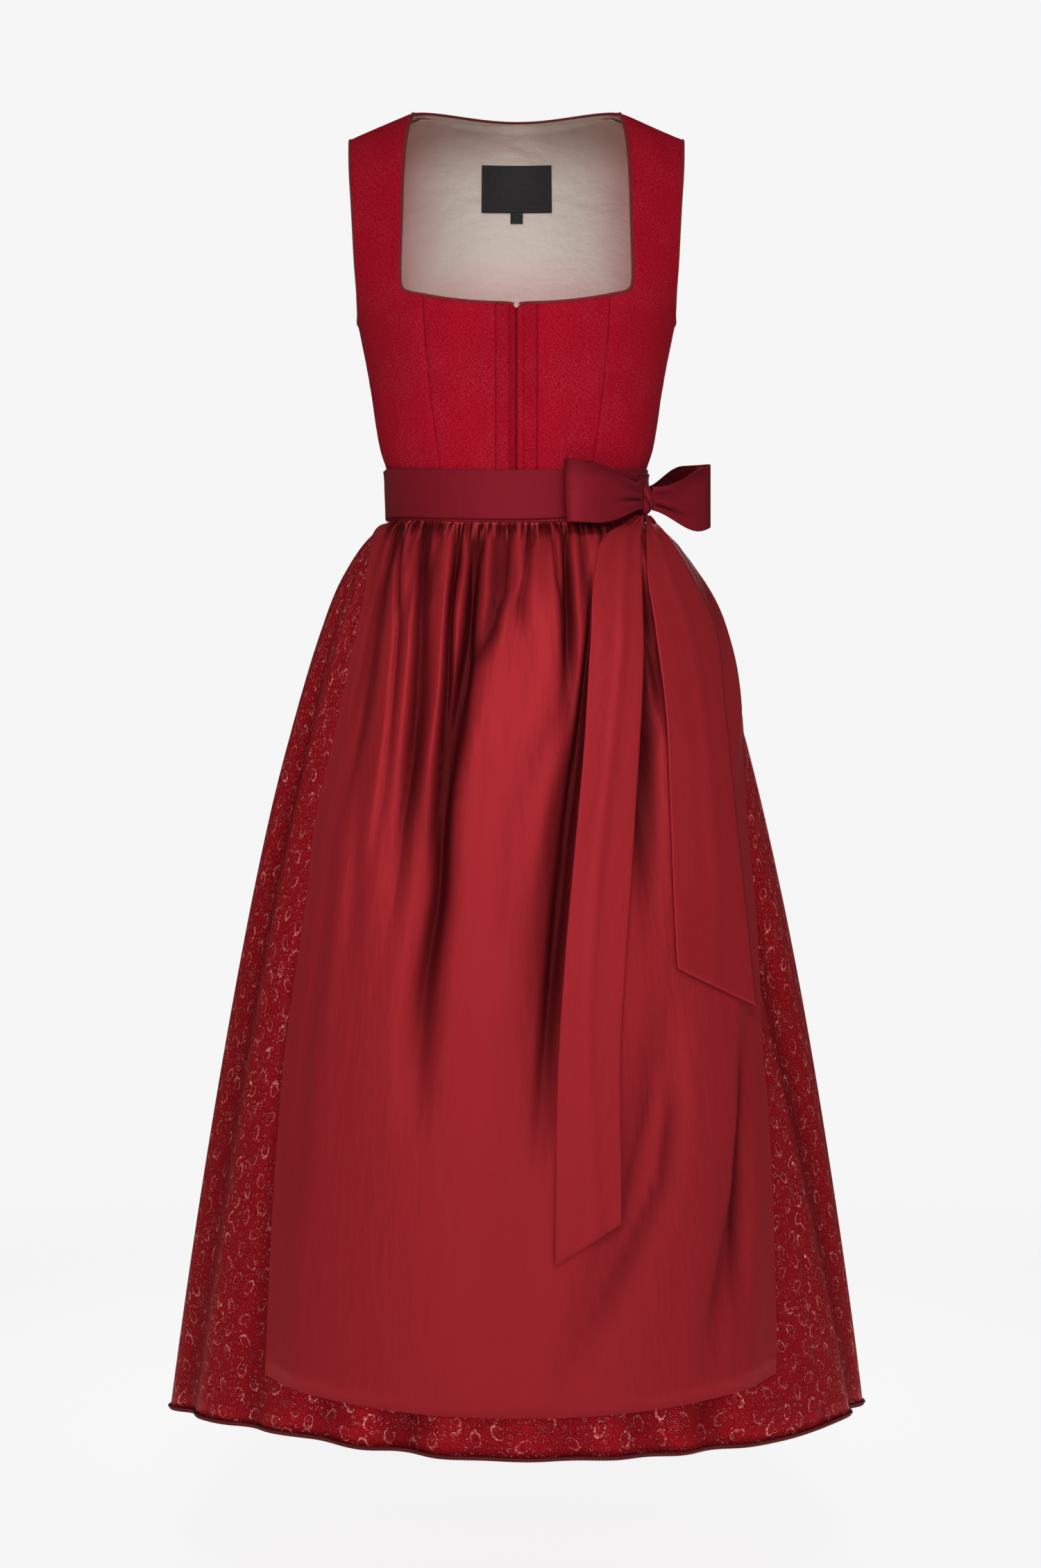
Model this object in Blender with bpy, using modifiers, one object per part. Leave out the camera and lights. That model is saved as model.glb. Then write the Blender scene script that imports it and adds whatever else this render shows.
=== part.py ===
"""A sleeveless dirndl with a gathered skirt, an apron and a tied bow, hollow and in its worn shape.

Metres, +Z up. The origin lies on the shoulder line, midway between the two straps, where the wearer
holds the dress up. The front faces -Y and the wearer's left is +X. Angles are in degrees round the
body: 0 is the centre front, 90 the wearer's left side and 180 the centre back.
"""

import math

import bmesh
import bpy
import numpy as np
from mathutils import Vector

# Thicknesses and gaps
BODICE_CLOTH = 0.0015
SKIRT_CLOTH = 0.0010
BAND_CLOTH = 0.0012
LINING_CLOTH = 0.0010
SEAM_GAP = 0.0003

# Heights below the shoulder line
HEM = -1.295
APRON_HEM = -1.257
APRON_HEM_RISE = 0.025
WAIST_SEAM = -0.384
BAND_TOP = -0.359
BAND_BOTTOM = -0.411
FLARE_TOP = -0.414
ARMPIT = -0.213
BACK_SEAM_TOP = -0.130
SHOULDER_EDGE = -0.000016

# How much lower the waist hangs at the front, and the heights between which that fades in and out
WAIST_DIP = 0.008
DIP_TOP = -0.270
DIP_FADE = (-0.430, -0.750)

# Half widths and half depths of the skirt, from the band down to the hem
WAIST_HALF_WIDTH = 0.128
HEM_HALF_WIDTH = 0.3495
WAIST_FRONT, HEM_FRONT = 0.0925, 0.272
WAIST_BACK, HEM_BACK = 0.0960, 0.275
FLARE_POWER = 0.50
FLARE_START = 0.002
FRONT_DEPTH_POWER, BACK_DEPTH_POWER = 1.10, 0.95

# Neck and shoulders
NECK_HALF_WIDTH = 0.1046
NECK_CORNER = 0.1115
NECK_FRONT_LOW = -0.2095
NECK_FRONT_RISE = 0.017
NECK_BACK_RISE = 0.009
NOTCH_HALF_WIDTH = 0.005
NOTCH_DEPTH = 0.004
SHOULDER_SLOPE = 0.42

# How square the body's sections are: 2 is an ellipse
SQUARENESS = 2.1

# The steps over which a surface's slope is taken: degrees round it, and metres up it
SLOPE_TURN = 0.5
SLOPE_RISE = 0.0004

# Edge cord and bow
TRIM_RADIUS = 0.0015
TRIM_GAP = 0.0007
RIBBON_WIDTH = 0.063
KNOT_ANGLE = 64.0
KNOT_HEIGHT = -0.391
KNOT_HALF = (0.0085, 0.0085, 0.0150)

# The bow's loops: their half height and half gap at the knot, then how each one lies
LOOP_PINCHED_HALF, LOOP_PINCHED_GAP = 0.0120, 0.0030
LOOP_OPEN_BY = 0.75
FRONT_LOOP_ANGLES = (KNOT_ANGLE - 4.3, 18.5)
FRONT_LOOP_GAP, FRONT_LOOP_RISE, FRONT_LOOP_LEAN = 0.0110, 0.0050, 0.0080
FRONT_LOOP_STAND, FRONT_LOOP_LIFT = 0.0145, 0.0055
SIDE_LOOP_WAY = (0.69, 0.72)
SIDE_LOOP_START, SIDE_LOOP_REACH = 0.0084, 0.0830
SIDE_LOOP_GAP, SIDE_LOOP_RISE, SIDE_LOOP_SAG, SIDE_LOOP_LEAN = 0.0150, 0.0030, 0.0060, 0.0040

# Labels
LABEL_WIDTH, LABEL_TOP, LABEL_BOTTOM = 0.0745, -0.032, -0.080
TAB_WIDTH, TAB_LENGTH = 0.013, 0.011

# Distances out from the bodice's cloth
BAND_LIFT = 0.0020
TIE_LIFT = 0.0036
LINING_GAP = 0.0015
LINING_LIFT = -(BODICE_CLOTH + LINING_CLOTH) / 2 - LINING_GAP
LABEL_LIFT = LINING_LIFT - LINING_CLOTH - LINING_GAP

# How far the apron stands off the skirt where it lies closest, and the most that a fold takes in
APRON_LIFT = 0.0022
APRON_FOLD_TOTAL = 0.014
APRON_EDGE_RAISED = 0.15
APRON_EDGE_RUN = 0.10
SKIRT_FOLD_TOTAL = 0.020

# How far below its top a fold has its whole depth, and how far above its low end it starts to fade
SKIRT_FOLD_RUN = 0.27
APRON_FOLD_RUN = 0.06
APRON_FOLD_FADE = (0.10, -0.02)

# The heights between which the apron comes away from the skirt, and from its band
APRON_FREE = (-0.415, -0.520)
APRON_LEAVES_BAND = -0.425

# The general figure that the bodice is cut for
FIGURE = {
    "height": (-0.420, -0.385, -0.359, -0.340, -0.318, -0.290, -0.262, -0.234, -0.213, -0.185,
               -0.157, -0.120, -0.080, -0.050, -0.025, -0.010, -0.003, -0.0008, -0.0002, 0.000),
    "half_width": (0.1278, 0.1287, 0.1303, 0.1362, 0.1405, 0.1445, 0.1490, 0.1545, 0.1590, 0.1690,
                   0.1800, 0.1930, 0.1990, 0.1990, 0.1970, 0.1950, 0.1940, 0.1940, 0.1940, 0.1940),
    "front": (0.0920, 0.0925, 0.0935, 0.0985, 0.1030, 0.1080, 0.1140, 0.1190, 0.1215, 0.1190,
              0.1110, 0.0960, 0.0800, 0.0660, 0.0490, 0.0330, 0.0190, 0.0100, 0.0050, 0.0000),
    "back": (0.0960, 0.0960, 0.0965, 0.1000, 0.1030, 0.1060, 0.1080, 0.1085, 0.1080, 0.1070,
             0.1050, 0.1010, 0.0930, 0.0790, 0.0580, 0.0380, 0.0210, 0.0110, 0.0055, 0.0000),
    "spine": (0.0960, 0.0960, 0.0965, 0.1000, 0.1030, 0.1060, 0.1080, 0.1085, 0.1085, 0.1080,
              0.1070, 0.1060, 0.1040, 0.0990, 0.0930, 0.0890, 0.0870, 0.0860, 0.0860, 0.0860),
}

# Where the cut edges of the bodice lie, as distances from the centre
ARMHOLE = {
    "height": (-0.213, -0.206, -0.190, -0.157, -0.120, -0.080, -0.040, 0.000),
    "across": (0.1590, 0.1575, 0.1575, 0.1590, 0.1605, 0.1625, 0.1650, 0.1665),
}
STRAP_INNER = {
    "height": (-0.1950, -0.1915, -0.1870, -0.1770, -0.1230, -0.0690, -0.0260, 0.0000),
    "across": (0.1060, 0.1120, 0.1143, 0.1150, 0.1140, 0.1130, 0.1100, 0.1046),
}
FRONT_SEAM = {
    "height": (-0.384, -0.360, -0.300, -0.250, -0.200),
    "across": (0.0750, 0.0760, 0.0840, 0.0895, 0.0920),
}
BACK_SEAM = {
    "height": (-0.384, -0.360, -0.300, -0.250, -0.200, -0.160, -0.130),
    "across": (0.0480, 0.0500, 0.0600, 0.0750, 0.1000, 0.1300, 0.1590),
}

# The rows that the bodice's panels share, so that their edges meet
LOW_ROWS = (WAIST_SEAM, BAND_TOP, -0.340, -0.300, -0.255, ARMPIT)
CORNER_ROWS = (-0.2070, -0.1985, -0.1950, -0.1915, -0.1870, -0.1770, -0.1550)
BACK_ROWS = (-0.2070, -0.1870, -0.1550, -0.1340)
BACK_NECK = (0.018, 0.036, 0.053, 0.070, 0.084, 0.095, NECK_HALF_WIDTH)
STRAP_ROWS = (-0.1150, -0.0800, -0.0480, -0.0250, -0.0100, -0.0025, SHOULDER_EDGE)

# The hem hangs unevenly: how far it lies above its mean height, by the angle round the skirt
HEM_LINE = {
    "angle": (-180.0, -130.0, -90.0, -60.0, -40.0, -20.0, 0.0, 25.0, 45.0, 65.0, 90.0, 135.0, 180.0),
    "rise": (0.000, 0.003, 0.001, 0.010, 0.011, 0.003, -0.003, -0.002, 0.001, 0.006, 0.001, 0.003, 0.000),
}

# The apron's two side edges, as angles
APRON_EDGES = {
    "height": (-1.257, -1.198, -1.120, -1.045, -0.995, -0.920, -0.854, -0.790, -0.752, -0.713,
               -0.647, -0.595, -0.546, -0.479, -0.447, -0.425, -0.410),
    "right_hand": (-42.0, -42.9, -44.2, -45.4, -46.1, -46.9, -46.9, -47.1, -47.8, -48.7,
                   -47.9, -47.6, -47.8, -50.5, -57.0, -68.0, -80.0),
    "left_hand": (43.6, 45.5, 47.4, 49.3, 50.5, 51.9, 54.5, 57.4, 58.8, 60.5,
                  67.5, 78.0, 84.0, 87.0, 88.0, 88.0, 88.0),
}

# The apron's long folds. Across runs from 0 at its right-hand edge to 1 at its left-hand edge.
# A fold goes from its top height to its low height; its depth is how far it lies in from the ridges.
APRON_FOLDS = (
    {"across": (0.07, 0.07), "height": (-0.44, -1.10), "half_width": 0.028, "depth": 0.010},
    {"across": (0.10, 0.15), "height": (-0.43, -0.88), "half_width": 0.024, "depth": 0.006},
    {"across": (0.19, 0.23), "height": (-0.42, -0.84), "half_width": 0.028, "depth": 0.009},
    {"across": (0.27, 0.31), "height": (-0.42, -1.10), "half_width": 0.027, "depth": 0.022},
    {"across": (0.36, 0.37), "height": (-0.42, -0.64), "half_width": 0.028, "depth": 0.006},
    {"across": (0.48, 0.46), "height": (-0.86, -1.25), "half_width": 0.040, "depth": 0.007},
    {"across": (0.50, 0.44), "height": (-0.42, -0.88), "half_width": 0.035, "depth": 0.009},
    {"across": (0.55, 0.51), "height": (-0.42, -1.04), "half_width": 0.027, "depth": 0.018},
    {"across": (0.66, 0.64), "height": (-0.42, -0.82), "half_width": 0.030, "depth": 0.013},
    {"across": (0.76, 0.61), "height": (-0.86, -1.13), "half_width": 0.028, "depth": 0.007},
    {"across": (0.78, 0.55), "height": (-0.88, -1.25), "half_width": 0.035, "depth": 0.011},
    {"across": (0.91, 0.82), "height": (-0.98, -1.25), "half_width": 0.030, "depth": 0.007},
    {"across": (0.95, 0.89), "height": (-0.86, -1.20), "half_width": 0.024, "depth": 0.011},
)

# The skirt's long folds. Each goes from its top height to the hem, and turns between two angles.
# Its half width is in degrees, because it widens with the skirt.
SKIRT_FOLDS = (
    {"angle": (-6.0, -4.0), "top": -0.46, "half_width": 5.0, "depth": 0.009},
    {"angle": (-19.0, -17.1), "top": -0.45, "half_width": 3.8, "depth": 0.021},
    {"angle": (-33.0, -31.0), "top": -0.50, "half_width": 4.2, "depth": 0.008},
    {"angle": (-45.0, -47.0), "top": -0.44, "half_width": 4.4, "depth": 0.011},
    {"angle": (-66.0, -69.0), "top": -0.43, "half_width": 5.0, "depth": 0.013},
    {"angle": (10.0, 8.0), "top": -0.45, "half_width": 5.0, "depth": 0.010},
    {"angle": (20.0, 20.0), "top": -0.48, "half_width": 4.0, "depth": 0.011},
    {"angle": (33.0, 31.5), "top": -0.46, "half_width": 4.2, "depth": 0.014},
    {"angle": (52.0, 77.0), "top": -0.60, "half_width": 5.0, "depth": 0.016},
    {"angle": (88.0, 94.0), "top": -0.43, "half_width": 4.8, "depth": 0.012},
    {"angle": (102.0, 107.0), "top": -0.43, "half_width": 4.0, "depth": 0.019},
    {"angle": (117.0, 120.0), "top": -0.44, "half_width": 4.8, "depth": 0.013},
    {"angle": (130.0, 133.0), "top": -0.43, "half_width": 4.0, "depth": 0.020},
    {"angle": (145.0, 147.0), "top": -0.43, "half_width": 5.0, "depth": 0.015},
    {"angle": (160.0, 161.0), "top": -0.44, "half_width": 4.0, "depth": 0.021},
    {"angle": (173.0, 174.0), "top": -0.43, "half_width": 4.4, "depth": 0.012},
    {"angle": (188.0, 187.0), "top": -0.43, "half_width": 4.8, "depth": 0.019},
    {"angle": (202.0, 201.0), "top": -0.43, "half_width": 4.0, "depth": 0.014},
    {"angle": (216.0, 214.0), "top": -0.44, "half_width": 4.8, "depth": 0.021},
    {"angle": (231.0, 228.0), "top": -0.43, "half_width": 4.0, "depth": 0.013},
    {"angle": (245.0, 241.0), "top": -0.43, "half_width": 4.8, "depth": 0.019},
    {"angle": (260.0, 256.0), "top": -0.43, "half_width": 4.2, "depth": 0.012},
    {"angle": (275.0, 272.0), "top": -0.46, "half_width": 4.4, "depth": 0.017},
)

# The bow's two ends: the distance of each edge from the centre, and how far they stand off the skirt
LONG_END = {
    "height": (-1.130, -1.080, -0.950, -0.850, -0.760, -0.640, -0.540, -0.460, -0.430, -0.418, -0.4066),
    "right_edge": (0.0340, 0.0345, 0.0365, 0.0425, 0.0500, 0.0602, 0.0657, 0.0709, 0.0790, 0.0920,
                   0.1100),
    "left_edge": (0.0935, 0.0935, 0.0925, 0.0973, 0.1034, 0.1102, 0.1134, 0.1125, 0.1135, 0.1145,
                  0.1150),
    "lift": (0.0195, 0.0195, 0.0195, 0.0195, 0.0195, 0.0195, 0.0195, 0.0160, 0.0130, 0.0125, 0.0130),
}
SHORT_END = {
    "height": (-0.890, -0.800, -0.700, -0.600, -0.520, -0.460, -0.430, -0.418, -0.4066),
    "right_edge": (0.1458, 0.1410, 0.1377, 0.1330, 0.1235, 0.1170, 0.1180, 0.1180, 0.1162),
    "left_edge": (0.2160, 0.2072, 0.1969, 0.1871, 0.1775, 0.1520, 0.1390, 0.1310, 0.1212),
    "lift": (0.0200, 0.0200, 0.0200, 0.0200, 0.0200, 0.0170, 0.0130, 0.0125, 0.0130),
}
LONG_END_CUT = (-1.120, -1.082)
SHORT_END_CUT = (-0.849, -0.887)

# The band and the tie round the waist
BAND_STEP = 8.0
TIE_JOIN = 0.2
TIE_BOTTOM, TIE_TOP = -0.4085, -0.3600

# How deep the small gathers are below the band
SKIRT_GATHER = {
    "height": (-0.520, -0.450, -0.440, -0.412),
    "depth": (0.0000, 0.0032, 0.0032, 0.0012),
}
APRON_GATHER = {
    "height": (-0.520, -0.440, -0.430, -0.412),
    "depth": (0.0000, 0.0034, 0.0034, 0.0012),
}

# Gathers along each piece's top edge
SKIRT_FRONT_EDGE = 58.0
FRONT_GATHERS = 20
BACK_GATHERS = 28
APRON_GATHERS = 45

# How many columns of points the lower rows have
FRONT_COLUMNS = 36
BACK_COLUMNS = 38
APRON_COLUMNS = 43


def clear_scene():
    for thing in list(bpy.data.objects):
        bpy.data.objects.remove(thing, do_unlink=True)


def read(table, column, at):
    """A column of a table at any place in its first column, on a curve that never overshoots."""
    places = np.array(next(iter(table.values())), float)
    values = np.array(table[column], float)
    at = float(np.clip(at, places[0], places[-1]))
    steps = np.diff(values) / np.diff(places)
    slopes = np.concatenate([[steps[0]], (steps[:-1] + steps[1:]) / 2, [steps[-1]]])
    slopes[1:-1][steps[:-1] * steps[1:] <= 0] = 0.0
    for i, step in enumerate(steps):
        slopes[i:i + 2] = np.clip(slopes[i:i + 2], min(0, 3 * step), max(0, 3 * step))
    i = int(np.clip(np.searchsorted(places, at) - 1, 0, len(steps) - 1))
    width = places[i + 1] - places[i]
    t = (at - places[i]) / width
    return float(values[i] * (2 * t**3 - 3 * t**2 + 1) + values[i + 1] * (3 * t**2 - 2 * t**3)
                 + width * (slopes[i] * (t**3 - 2 * t**2 + t) + slopes[i + 1] * (t**3 - t**2)))


def ease(start, end, at):
    """0 at start, 1 at end, and smooth between them."""
    t = min(1.0, max(0.0, (at - start) / (end - start)))
    return t * t * (3 - 2 * t)


def section_parts(angle):
    """The share of the half width and of the half depth that a section has at an angle."""
    power = 2 / SQUARENESS
    sine, cosine = math.sin(math.radians(angle)), math.cos(math.radians(angle))
    return math.copysign(abs(sine) ** power, sine), math.copysign(abs(cosine) ** power, cosine)


def angle_at(across, half_width, behind=False):
    """The angle at which a section of this half width lies this far from the centre."""
    share = min(1.0, abs(across) / half_width)
    angle = math.degrees(math.asin(share ** (SQUARENESS / 2)))
    return math.copysign(180 - angle if behind else angle, across)


def waist_dip(angle, height):
    """How far the waist hangs lower at the front, fading out above and below it."""
    ahead = max(0.0, math.cos(math.radians(angle)))
    near = ease(DIP_TOP, BAND_TOP, height) * (1 - ease(*DIP_FADE, height))
    return WAIST_DIP * ahead**2 * near


def figure_point(angle, height):
    """A point of the bodice's cloth. Near the top the sides run up to the shoulder line."""
    side, ahead = section_parts(angle)
    x = read(FIGURE, "half_width", height) * side
    if ahead >= 0:
        y = -read(FIGURE, "front", height) * ahead
    else:
        strap = min(1.0, abs(x) / NECK_HALF_WIDTH) ** 2
        depth = read(FIGURE, "back", height) * strap + read(FIGURE, "spine", height) * (1 - strap)
        y = -depth * ahead
    slope = SHOULDER_SLOPE * max(0.0, abs(x) - NECK_HALF_WIDTH) * ease(ARMPIT, 0.0, height)
    return Vector((x, y, height - slope - waist_dip(angle, height)))


def flare(height):
    """How far the skirt has opened: 0 at the band and 1 at the hem."""
    drop = max(0.0, (FLARE_TOP - height) / (FLARE_TOP - HEM))
    least = FLARE_START ** FLARE_POWER
    return ((drop + FLARE_START) ** FLARE_POWER - least) / ((1 + FLARE_START) ** FLARE_POWER - least)


def skirt_half_width(height):
    return WAIST_HALF_WIDTH + (HEM_HALF_WIDTH - WAIST_HALF_WIDTH) * flare(height)


def skirt_point(angle, height):
    """A point of the smooth surface that the skirt's ridges touch."""
    side, ahead = section_parts(angle)
    opened = flare(height)
    if ahead >= 0:
        depth = WAIST_FRONT + (HEM_FRONT - WAIST_FRONT) * opened**FRONT_DEPTH_POWER
    else:
        depth = WAIST_BACK + (HEM_BACK - WAIST_BACK) * opened**BACK_DEPTH_POWER
    return Vector((skirt_half_width(height) * side, -depth * ahead, height - waist_dip(angle, height)))


def lifted(surface, angle, height, lift):
    """A point of a surface, moved out by lift along the surface's normal."""
    below = min(height, -SLOPE_RISE) - SLOPE_RISE
    round_it = surface(angle + SLOPE_TURN, below) - surface(angle - SLOPE_TURN, below)
    up_it = surface(angle, below + SLOPE_RISE) - surface(angle, below - SLOPE_RISE)
    return surface(angle, height) + round_it.cross(up_it).normalized() * lift


def skirt_out(angle, height, lift):
    """A point beside the skirt's surface, moved level and away from the body by lift."""
    round_it = skirt_point(angle + SLOPE_TURN, height) - skirt_point(angle - SLOPE_TURN, height)
    return skirt_point(angle, height) + Vector((round_it.y, -round_it.x, 0)).normalized() * lift


def material(name, colour, roughness):
    made = bpy.data.materials.get(name) or bpy.data.materials.new(name)
    made.use_nodes = True
    shader = made.node_tree.nodes["Principled BSDF"]
    shader.inputs["Base Color"].default_value = (*colour, 1.0)
    shader.inputs["Roughness"].default_value = roughness
    shader.inputs["Metallic"].default_value = 0.0
    return made


def put(name, data, finish, collection):
    """A new object in the dress's collection, with its cloth's finish."""
    thing = bpy.data.objects.new(name, data)
    collection.objects.link(thing)
    data.materials.append(finish)
    return thing


def zip_rows(mesh, low, high):
    """Faces between two rows of vertices that may differ in number."""
    i = j = 0
    while i < len(low) - 1 or j < len(high) - 1:
        next_low = (i + 1) / (len(low) - 1)
        next_high = (j + 1) / (len(high) - 1)
        if abs(next_low - next_high) < 1e-9:
            mesh.faces.new((low[i], low[i + 1], high[j + 1], high[j]))
            i, j = i + 1, j + 1
        elif next_low < next_high:
            mesh.faces.new((low[i], low[i + 1], high[j]))
            i += 1
        else:
            mesh.faces.new((low[i], high[j + 1], high[j]))
            j += 1


def cloth(name, rows, thickness, finish, collection):
    """A cloth wall through rows of points, the lowest row first, thickened to both sides."""
    mesh = bmesh.new()
    made = [[mesh.verts.new(point) for point in row] for row in rows]
    for low, high in zip(made[:-1], made[1:]):
        zip_rows(mesh, low, high)
    data = bpy.data.meshes.new(name)
    mesh.to_mesh(data)
    mesh.free()
    data.shade_smooth()
    thing = put(name, data, finish, collection)
    solid = thing.modifiers.new("Thickness", "SOLIDIFY")
    solid.thickness = thickness
    solid.offset = 0.0
    return thing


def cord(name, points, closed, finish, collection, sides=1):
    """The round edge cord along a line of points."""
    data = bpy.data.curves.new(name, "CURVE")
    data.dimensions = "3D"
    data.bevel_depth = TRIM_RADIUS
    data.bevel_resolution = sides
    data.use_fill_caps = True
    line = data.splines.new("POLY")
    line.points.add(len(points) - 1)
    for place, point in zip(line.points, points):
        place.co = (*point, 1.0)
    line.use_cyclic_u = closed
    return put(name, data, finish, collection)


def spread(start, end, count):
    """Evenly spaced numbers from start to end."""
    return [start + (end - start) * i / (count - 1) for i in range(count)]


def inset_angle(angle, towards, surface, height, gap):
    """An angle moved by a gap in metres, towards another angle."""
    span = (surface(angle + 0.5, height) - surface(angle - 0.5, height)).length
    return angle + math.copysign(min(gap / span, abs(towards - angle) / 3), towards - angle)


def armhole_angle(height, behind):
    """The angle of the armhole's edge, or of the side seam below the armpit."""
    if height <= ARMPIT:
        return 90.0
    across = read(ARMHOLE, "across", height)
    return angle_at(across, read(FIGURE, "half_width", height), behind)


def figure_angle(across, height, behind=False):
    return angle_at(across, read(FIGURE, "half_width", height), behind)


def neck_front_height(across):
    """The height of the front neckline between its two corners, with the notch at the opening."""
    rise = NECK_FRONT_RISE * (abs(across) / NECK_CORNER) ** 2.2
    notch = NOTCH_DEPTH * (1 - ease(0.0, NOTCH_HALF_WIDTH, abs(across)))
    return NECK_FRONT_LOW + rise - notch


def neck_back_height(across):
    """The height of the back neckline, which meets the shoulder line at the neck points."""
    share = min(1.0, abs(across) / NECK_HALF_WIDTH)
    return NECK_BACK_RISE * (1 - share**4)


def front_centre(side, finish, collection):
    """The panel between the front opening and the front seam."""
    rows = []
    for v in spread(0.0, 1.0, 9):
        row = []
        for u in (0.0, 0.055, 0.25, 0.45, 0.65, 0.83, 1.0):
            seam = read(FRONT_SEAM, "across", WAIST_SEAM + (ARMPIT - WAIST_SEAM) * v) - SEAM_GAP / 2
            across = SEAM_GAP / 2 + (seam - SEAM_GAP / 2) * u
            height = WAIST_SEAM + (neck_front_height(across) - WAIST_SEAM) * v
            row.append(figure_point(side * figure_angle(across, height), height))
        rows.append(row if side > 0 else row[::-1])
    name = "bodice_front_left" if side > 0 else "bodice_front_right"
    return cloth(name, rows, BODICE_CLOTH, finish, collection)


def front_inner_across(height):
    """The inner edge of a side front: its seam, the end of the neckline, then the strap's edge."""
    seam_top = neck_front_height(read(FRONT_SEAM, "across", -0.2))
    if height <= seam_top:
        return read(FRONT_SEAM, "across", height) + SEAM_GAP / 2
    corner = STRAP_INNER["height"][0]
    if height <= corner:
        share = (height - seam_top) / (corner - seam_top)
        start = read(FRONT_SEAM, "across", seam_top) + SEAM_GAP / 2
        return start + (STRAP_INNER["across"][0] - start) * share
    return read(STRAP_INNER, "across", height)


def side_front(side, finish, collection):
    """The panel from the front seam to the side seam, with the strap up to the shoulder line."""
    rows = []
    for height in LOW_ROWS + CORNER_ROWS + STRAP_ROWS:
        inner = figure_angle(front_inner_across(height), height)
        outer = armhole_angle(height, False)
        if height <= ARMPIT:
            outer = inset_angle(outer, 0.0, figure_point, height, SEAM_GAP / 2)
        row = [figure_point(side * angle, height) for angle in spread(inner, outer, 6)]
        rows.append(row if side > 0 else row[::-1])
    name = "bodice_side_front_left" if side > 0 else "bodice_side_front_right"
    return cloth(name, rows, BODICE_CLOTH, finish, collection)


def back_shares():
    """The centre back's columns as shares of its half width, one at each point of the neckline."""
    outer = 180 - armhole_angle(SHOULDER_EDGE, True)
    places = BACK_NECK + (0.125, 0.146)
    shares = [(180 - figure_angle(across, SHOULDER_EDGE, True)) / outer for across in places] + [1.0]
    return [-share for share in shares[::-1]] + [0.0] + shares


def back_place(share, height, outer):
    """The angle and height of a place on the back, raised towards the back neckline near the top."""
    angle = 180 - share * (180 - outer)
    across = figure_point(angle, height).x
    return angle, height + neck_back_height(across) * ease(-0.07, 0.0, height)


def back_row(height, outer, lift):
    """One row across the back."""
    places = [back_place(share, height, outer) for share in back_shares()[::-1]]
    if lift:
        return [lifted(figure_point, *place, lift) for place in places]
    return [figure_point(*place) for place in places]


def back_outer_angle(height):
    """The outer edge of the centre back: its curved seam, then the armhole's edge."""
    if height < BACK_SEAM_TOP:
        return figure_angle(read(BACK_SEAM, "across", height) - SEAM_GAP / 2, height, True)
    return armhole_angle(height, True)


def centre_back(finish, collection):
    """The centre back panel, which carries both back straps and the back neckline."""
    rows = []
    for height in LOW_ROWS + BACK_ROWS + (BACK_SEAM_TOP,) + STRAP_ROWS:
        rows.append(back_row(height, back_outer_angle(height), 0.0))
    return cloth("bodice_back", rows, BODICE_CLOTH, finish, collection)


def side_back(side, finish, collection):
    """The curved panel from the side seam to the back seam, ending at the armhole."""
    rows = []
    for height in LOW_ROWS + BACK_ROWS[:-1] + (BACK_ROWS[-1] - SEAM_GAP,):
        inner = figure_angle(read(BACK_SEAM, "across", height) + SEAM_GAP / 2, height, True)
        outer = armhole_angle(height, True)
        if height <= ARMPIT:
            outer = inset_angle(outer, 180.0, figure_point, height, SEAM_GAP / 2)
        row = [figure_point(side * angle, height) for angle in spread(outer, inner, 8)]
        rows.append(row if side > 0 else row[::-1])
    name = "bodice_side_back_left" if side > 0 else "bodice_side_back_right"
    return cloth(name, rows, BODICE_CLOTH, finish, collection)


def back_lining(finish, collection):
    """The lining of the whole back, from side seam to side seam, inside the bodice."""
    rows = []
    for height in LOW_ROWS + BACK_ROWS + (BACK_SEAM_TOP,) + STRAP_ROWS[:-2]:
        outer = armhole_angle(height, True)
        outer = inset_angle(outer, 180.0, figure_point, height, 2 * BODICE_CLOTH)
        rows.append(back_row(height, outer, LINING_LIFT))
    return cloth("lining_back", rows, LINING_CLOTH, finish, collection)


def label(name, half_width, top, bottom, finish, collection):
    """A woven label on the lining, curved with the back."""
    rows = []
    for height in spread(bottom, top, 3):
        across = spread(-half_width, half_width, 7)
        rows.append([lifted(figure_point, figure_angle(x, height, True) if x else 180.0, height,
                            LABEL_LIFT) for x in across][::-1])
    return cloth(name, rows, LINING_CLOTH, finish, collection)


def ring_strip(name, angles, heights, lift, finish, collection):
    """A band round the waist, through some angles and heights."""
    rows = [[lifted(figure_point, angle, height, lift) for angle in angles] for height in heights]
    return cloth(name, rows, BAND_CLOTH, finish, collection)


def uneven(index, least):
    """A repeatable number from least to 1 that makes neighbouring gathers differ."""
    return least + (1 - least) * (0.5 + 0.5 * math.sin(index * 2.4 + math.sin(index * 0.7) * 1.9))


def long_fold(depth, away, half_width):
    """How far one fold lies in, at a distance away from its middle."""
    return depth * math.exp(-(away / half_width) ** 2)


def no_more_than(most, total):
    """A total that levels off smoothly below a limit."""
    return most * math.tanh(total / most)


def skirt_fold(angle, height):
    """How far the skirt's long folds lie in from the surface that its ridges touch."""
    total = 0.0
    for fold in SKIRT_FOLDS:
        share = min(1.0, max(0.0, (fold["top"] - height) / (fold["top"] - HEM)))
        middle = fold["angle"][0] + (fold["angle"][1] - fold["angle"][0]) * share
        away = (angle - middle + 180) % 360 - 180
        grown = ease(fold["top"], fold["top"] - SKIRT_FOLD_RUN, height)
        total += long_fold(fold["depth"], away, fold["half_width"]) * grown
    return no_more_than(SKIRT_FOLD_TOTAL, total)


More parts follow.
